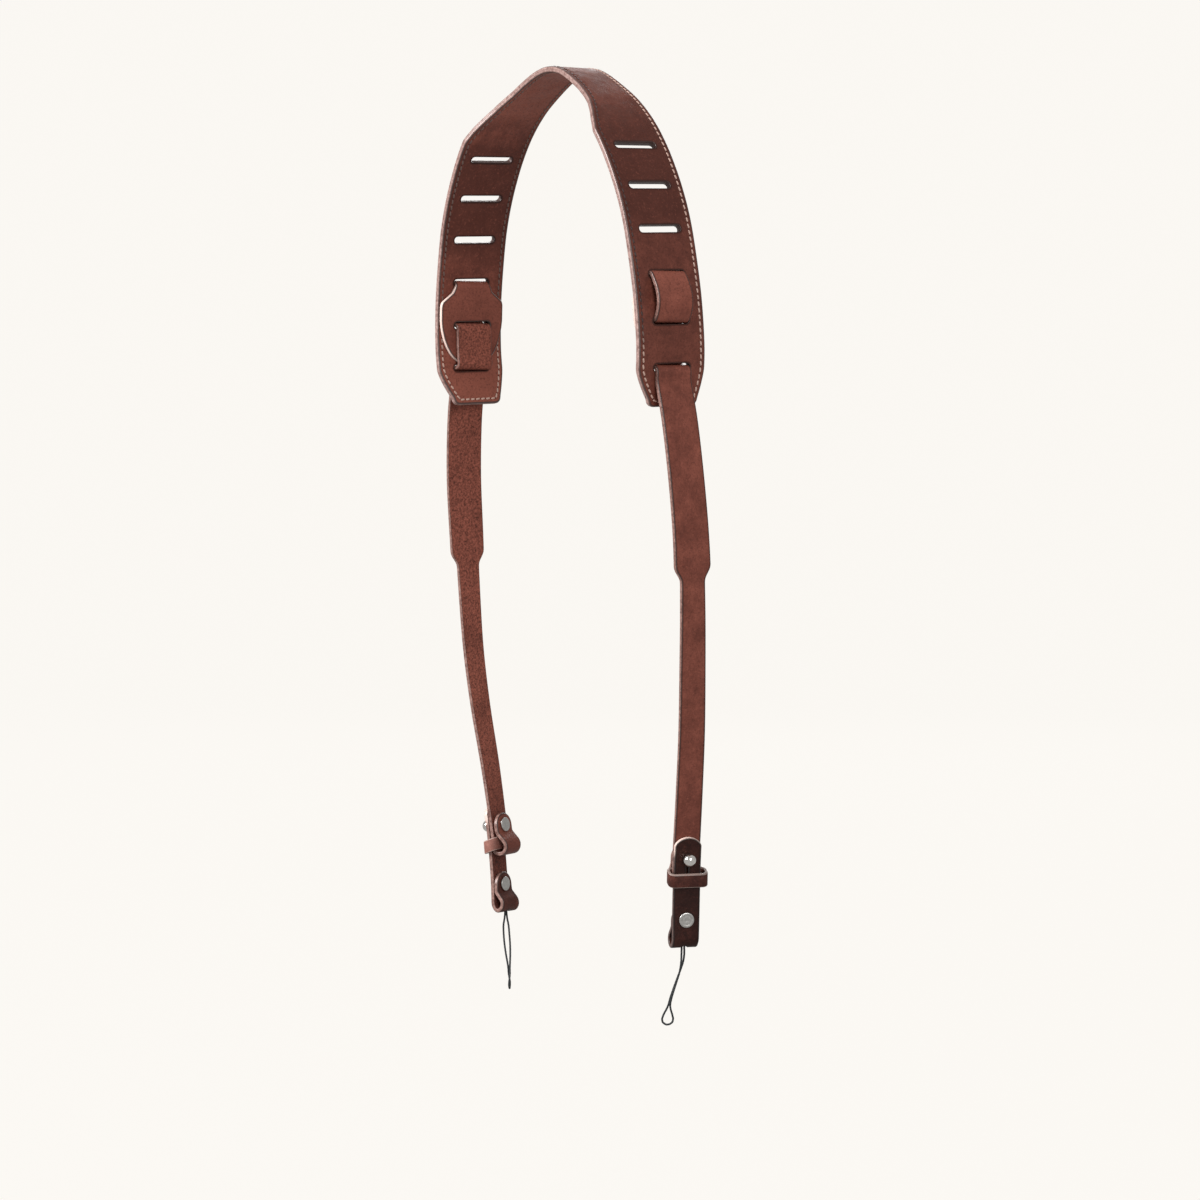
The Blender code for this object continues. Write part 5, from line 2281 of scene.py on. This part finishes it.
@dataclass
class CordLoop:
    """The thin twisted cord and the knot that stops it in the loop's eye."""

    tab: EndTab
    fit: FittingSizes
    finishes: Finishes
    strands: int = 3
    strand_pitch: float = 0.0021
    relief: float = 0.09
    sides: int = 15
    ring_step: float = 0.00022
    frame_from: tuple = (0.3, 0.2, 0.93)
    knot_steps: int = 220
    knot_reach: float = 3.0
    knot_rise: float = 1.6

    def eye(self) -> np.ndarray:
        """The middle of the cord's hole on the outside of the loop's bottom."""
        return self.tab.hang.at(self.fit.loop_bottom, self.tab.lie - self.fit.loop_bulge / 2)[0]

    def knot_middle(self) -> np.ndarray:
        """The middle of the knot, above the leather at the bottom of the loop."""
        return self.eye() + np.array([0.0, 0.0, self.fit.tab_leather + self.fit.knot_above])

    def route(self) -> np.ndarray:
        """The right cord: down one strand, round the bend and up the other.

        Returns:
            The cord's middle line.
        """
        fit, eye = self.fit, self.eye()
        way = math.radians(fit.cord_lean_way_deg)
        sway = np.array([math.cos(way), math.sin(way), 0.0])
        tuck = self.knot_middle()[2] - fit.knot / 2 - fit.gap - eye[2]
        rows = [(-tuck / fit.cord_drop, 0.0, fit.cord_rows[0][2], 0.0), *fit.cord_rows]
        down_strand, up_strand = [], []
        for down, lean, opened, turned in rows:
            middle = eye + sway * lean * fit.cord_lean
            middle[2] -= down * fit.cord_drop
            turn = math.radians(fit.cord_turn_from_deg + turned * fit.cord_turn_deg)
            across = np.array([math.cos(turn), math.sin(turn), 0.0]) * opened * fit.cord_open / 2
            down_strand.append(middle + across)
            up_strand.append(middle - across)
        lowest = eye + sway * fit.cord_lean
        lowest[2] -= fit.cord_drop
        return spline([*down_strand, lowest, *up_strand[::-1]], 10)

    def tube(self, path: np.ndarray) -> Mesh:
        """A twisted tube along a path.

        Args:
            path: the path's points.

        Returns:
            The tube's mesh.
        """
        ahead = unit(np.gradient(path, axis=0))
        across = [unit(np.cross(ahead[0], self.frame_from))]
        for way in ahead[1:]:
            across.append(unit(across[-1] - across[-1].dot(way) * way))
        across = np.array(across)
        other = np.cross(ahead, across)
        along = lengths_of(path)
        mesh = Mesh()
        points = []
        for k in range(len(path)):
            for j in range(self.sides):
                angle = 2 * math.pi * j / self.sides
                twist = angle * self.strands - 2 * math.pi * along[k] / self.strand_pitch
                reach = self.fit.cord / 2 * (1 + self.relief * (math.cos(twist) - 1) / 2)
                ring = across[k] * math.cos(angle) + other[k] * math.sin(angle)
                points.append(path[k] + ring * reach)
        count = len(path)
        mesh.add(np.array(points), bands(count, self.sides) + lids(count, self.sides))
        return mesh

    def knot(self, side: Side) -> bpy.types.Object:
        """A small overhand knot drawn tight.

        Args:
            side: which half.

        Returns:
            The knot.
        """
        turn = np.linspace(0, 2 * math.pi, self.knot_steps)
        size = (self.fit.knot - self.fit.cord) / 2 / self.knot_reach
        x, y = np.sin(turn) + 2 * np.sin(2 * turn), np.cos(turn) - 2 * np.cos(2 * turn)
        path = np.column_stack([x, y, -self.knot_rise * np.sin(3 * turn)])
        made = self.tube(self.knot_middle() + path * size)
        cord, name = self.finishes.cord, side.value + "_cord_knot"
        return made.piece(name, cord, "black_cord", side, sharp_deg=80)

    def build(self, side: Side) -> bpy.types.Object:
        """Args:
            side: which half.

        Returns:
            The cord.
        """
        route = self.route()
        along = lengths_of(route)
        count = round(along[-1] / self.ring_step)
        path = rows_at(np.linspace(0, along[-1], count + 1), along, route)
        cord, name = self.finishes.cord, side.value + "_cord"
        made = self.tube(path).piece(name, cord, "black_cord", side, sharp_deg=80)
        knot = self.knot(side)
        if side is Side.LEFT:
            path = path * (-1.0, 1.0, 1.0)
        return made


@dataclass
class Studio:
    """The pale sweep, the soft lights and the camera."""

    target: tuple = (0.009855, 0.013014, -0.306509)
    azimuth_deg: float = 54.2
    elevation_deg: float = 3.34
    distance: float = 2.2
    lens: float = 112.65
    sensor: float = 36.0
    floor: float = -0.62
    flat: float = 3.0
    cove: float = 1.5
    wall: float = 5.0
    sweep_sides: int = 96
    paper: Colour = (0.953, 0.927, 0.885)
    lights: tuple = (
        ("key", (-0.5, -2.4, 1.0), 1.0, 132.0),
        ("fill", (2.6, -0.6, 0.7), 1.4, 34.0),
        ("back", (-1.8, 1.6, 0.6), 1.4, 26.0),
    )
    sky: Colour = (1.0, 0.985, 0.965)
    sky_power: float = 0.5

    def camera(self) -> None:
        """Stands the camera where the photograph was taken."""
        azimuth, elevation = math.radians(self.azimuth_deg), math.radians(self.elevation_deg)
        flat = math.cos(elevation)
        way = Vector((math.sin(azimuth) * flat, -math.cos(azimuth) * flat, math.sin(elevation)))
        data = bpy.data.cameras.new("camera")
        data.lens = self.lens
        data.sensor_width = self.sensor
        made = bpy.data.objects.new("camera", data)
        made.location = Vector(self.target) + way * self.distance
        made.rotation_euler = (-way).to_track_quat("-Z", "Y").to_euler()
        bpy.context.scene.collection.objects.link(made)
        bpy.context.scene.camera = made

    def sweep(self) -> None:
        """A round pale floor that curves up into a wall on every side."""
        flat, cove, sides = self.flat, self.cove, self.sweep_sides
        rows = [(flat / 2, 0.0), (flat, 0.0)]
        for angle in np.linspace(0.1, math.pi / 2, 12):
            rows.append((flat + cove * math.sin(angle), cove - cove * math.cos(angle)))
        rows += [(flat + cove, 2 * cove), (flat + cove, self.wall)]
        points = []
        for radius, height in rows:
            for angle in (2 * math.pi * k / sides for k in range(sides)):
                x, y = radius * math.cos(angle), radius * math.sin(angle)
                points.append((x, y, self.floor + height))
        points.append((0.0, 0.0, self.floor))
        faces = bands(len(rows), sides)
        faces += [(len(points) - 1, (k + 1) % sides, k) for k in range(sides)]
        mesh = bpy.data.meshes.new("sweep")
        mesh.from_pydata(points, [], [face[::-1] for face in faces])
        mesh.shade_smooth()
        paper = Graph("backdrop paper").plain(
            Base_Color=(0.01, 0.01, 0.01, 1.0),
            Roughness=1.0,
            Specular_IOR_Level=0.0,
            Emission_Color=(*self.paper, 1.0),
            Emission_Strength=1.0,
        )
        mesh.materials.append(paper)
        made = bpy.data.objects.new("sweep", mesh)
        made.visible_diffuse = False
        made.visible_glossy = False
        made.visible_shadow = False
        bpy.context.scene.collection.objects.link(made)

    def light(self, name: str, place: tuple, size: float, power: float) -> None:
        """One soft square light that faces the strap.

        Args:
            name: the light's name.
            place: where it stands.
            size: its side, in metres.
            power: its power, in watts.
        """
        data = bpy.data.lights.new(name, "AREA")
        data.size = size
        data.energy = power
        made = bpy.data.objects.new(name, data)
        made.location = place
        way = Vector(self.target) - Vector(place)
        made.rotation_euler = way.to_track_quat("-Z", "Y").to_euler()
        bpy.context.scene.collection.objects.link(made)

    def build(self) -> None:
        """Makes the whole set."""
        self.camera()
        self.sweep()
        for row in self.lights:
            self.light(*row)
        world = bpy.data.worlds.new("studio")
        world.use_nodes = True
        background = world.node_tree.nodes["Background"]
        background.inputs["Color"].default_value = (*self.sky, 1.0)
        background.inputs["Strength"].default_value = self.sky_power
        bpy.context.scene.world = world
        bpy.context.scene.view_settings.view_transform = "Standard"


def main() -> None:
    """Builds the set, the cords and then every other piece."""
    logging.basicConfig(level=logging.INFO, format="%(name)s: %(message)s")
    Studio().build()
    finishes = Finishes()
    strap, fit = StrapSizes(), FittingSizes()
    pad = PadShape(PadSizes())
    leg = LegStrap(pad, strap, fit, finishes)
    tab = EndTab(leg.hang, strap.leather, fit, finishes)
    makers = (
        CordLoop(tab, fit, finishes),
        leg,
        tab,
        Keeper(leg.hang, strap, fit, finishes),
        BallStud(tab, strap.leather, fit, finishes),
        LoopRivet(tab, fit, finishes),
    )
    for maker in makers:
        for side in Side:
            made = maker.build(side)
            log.info("made %s, %d faces", made.name, len(made.data.polygons))
    ShoulderPad(pad, finishes).build()


if __name__ == "__main__":
    main()
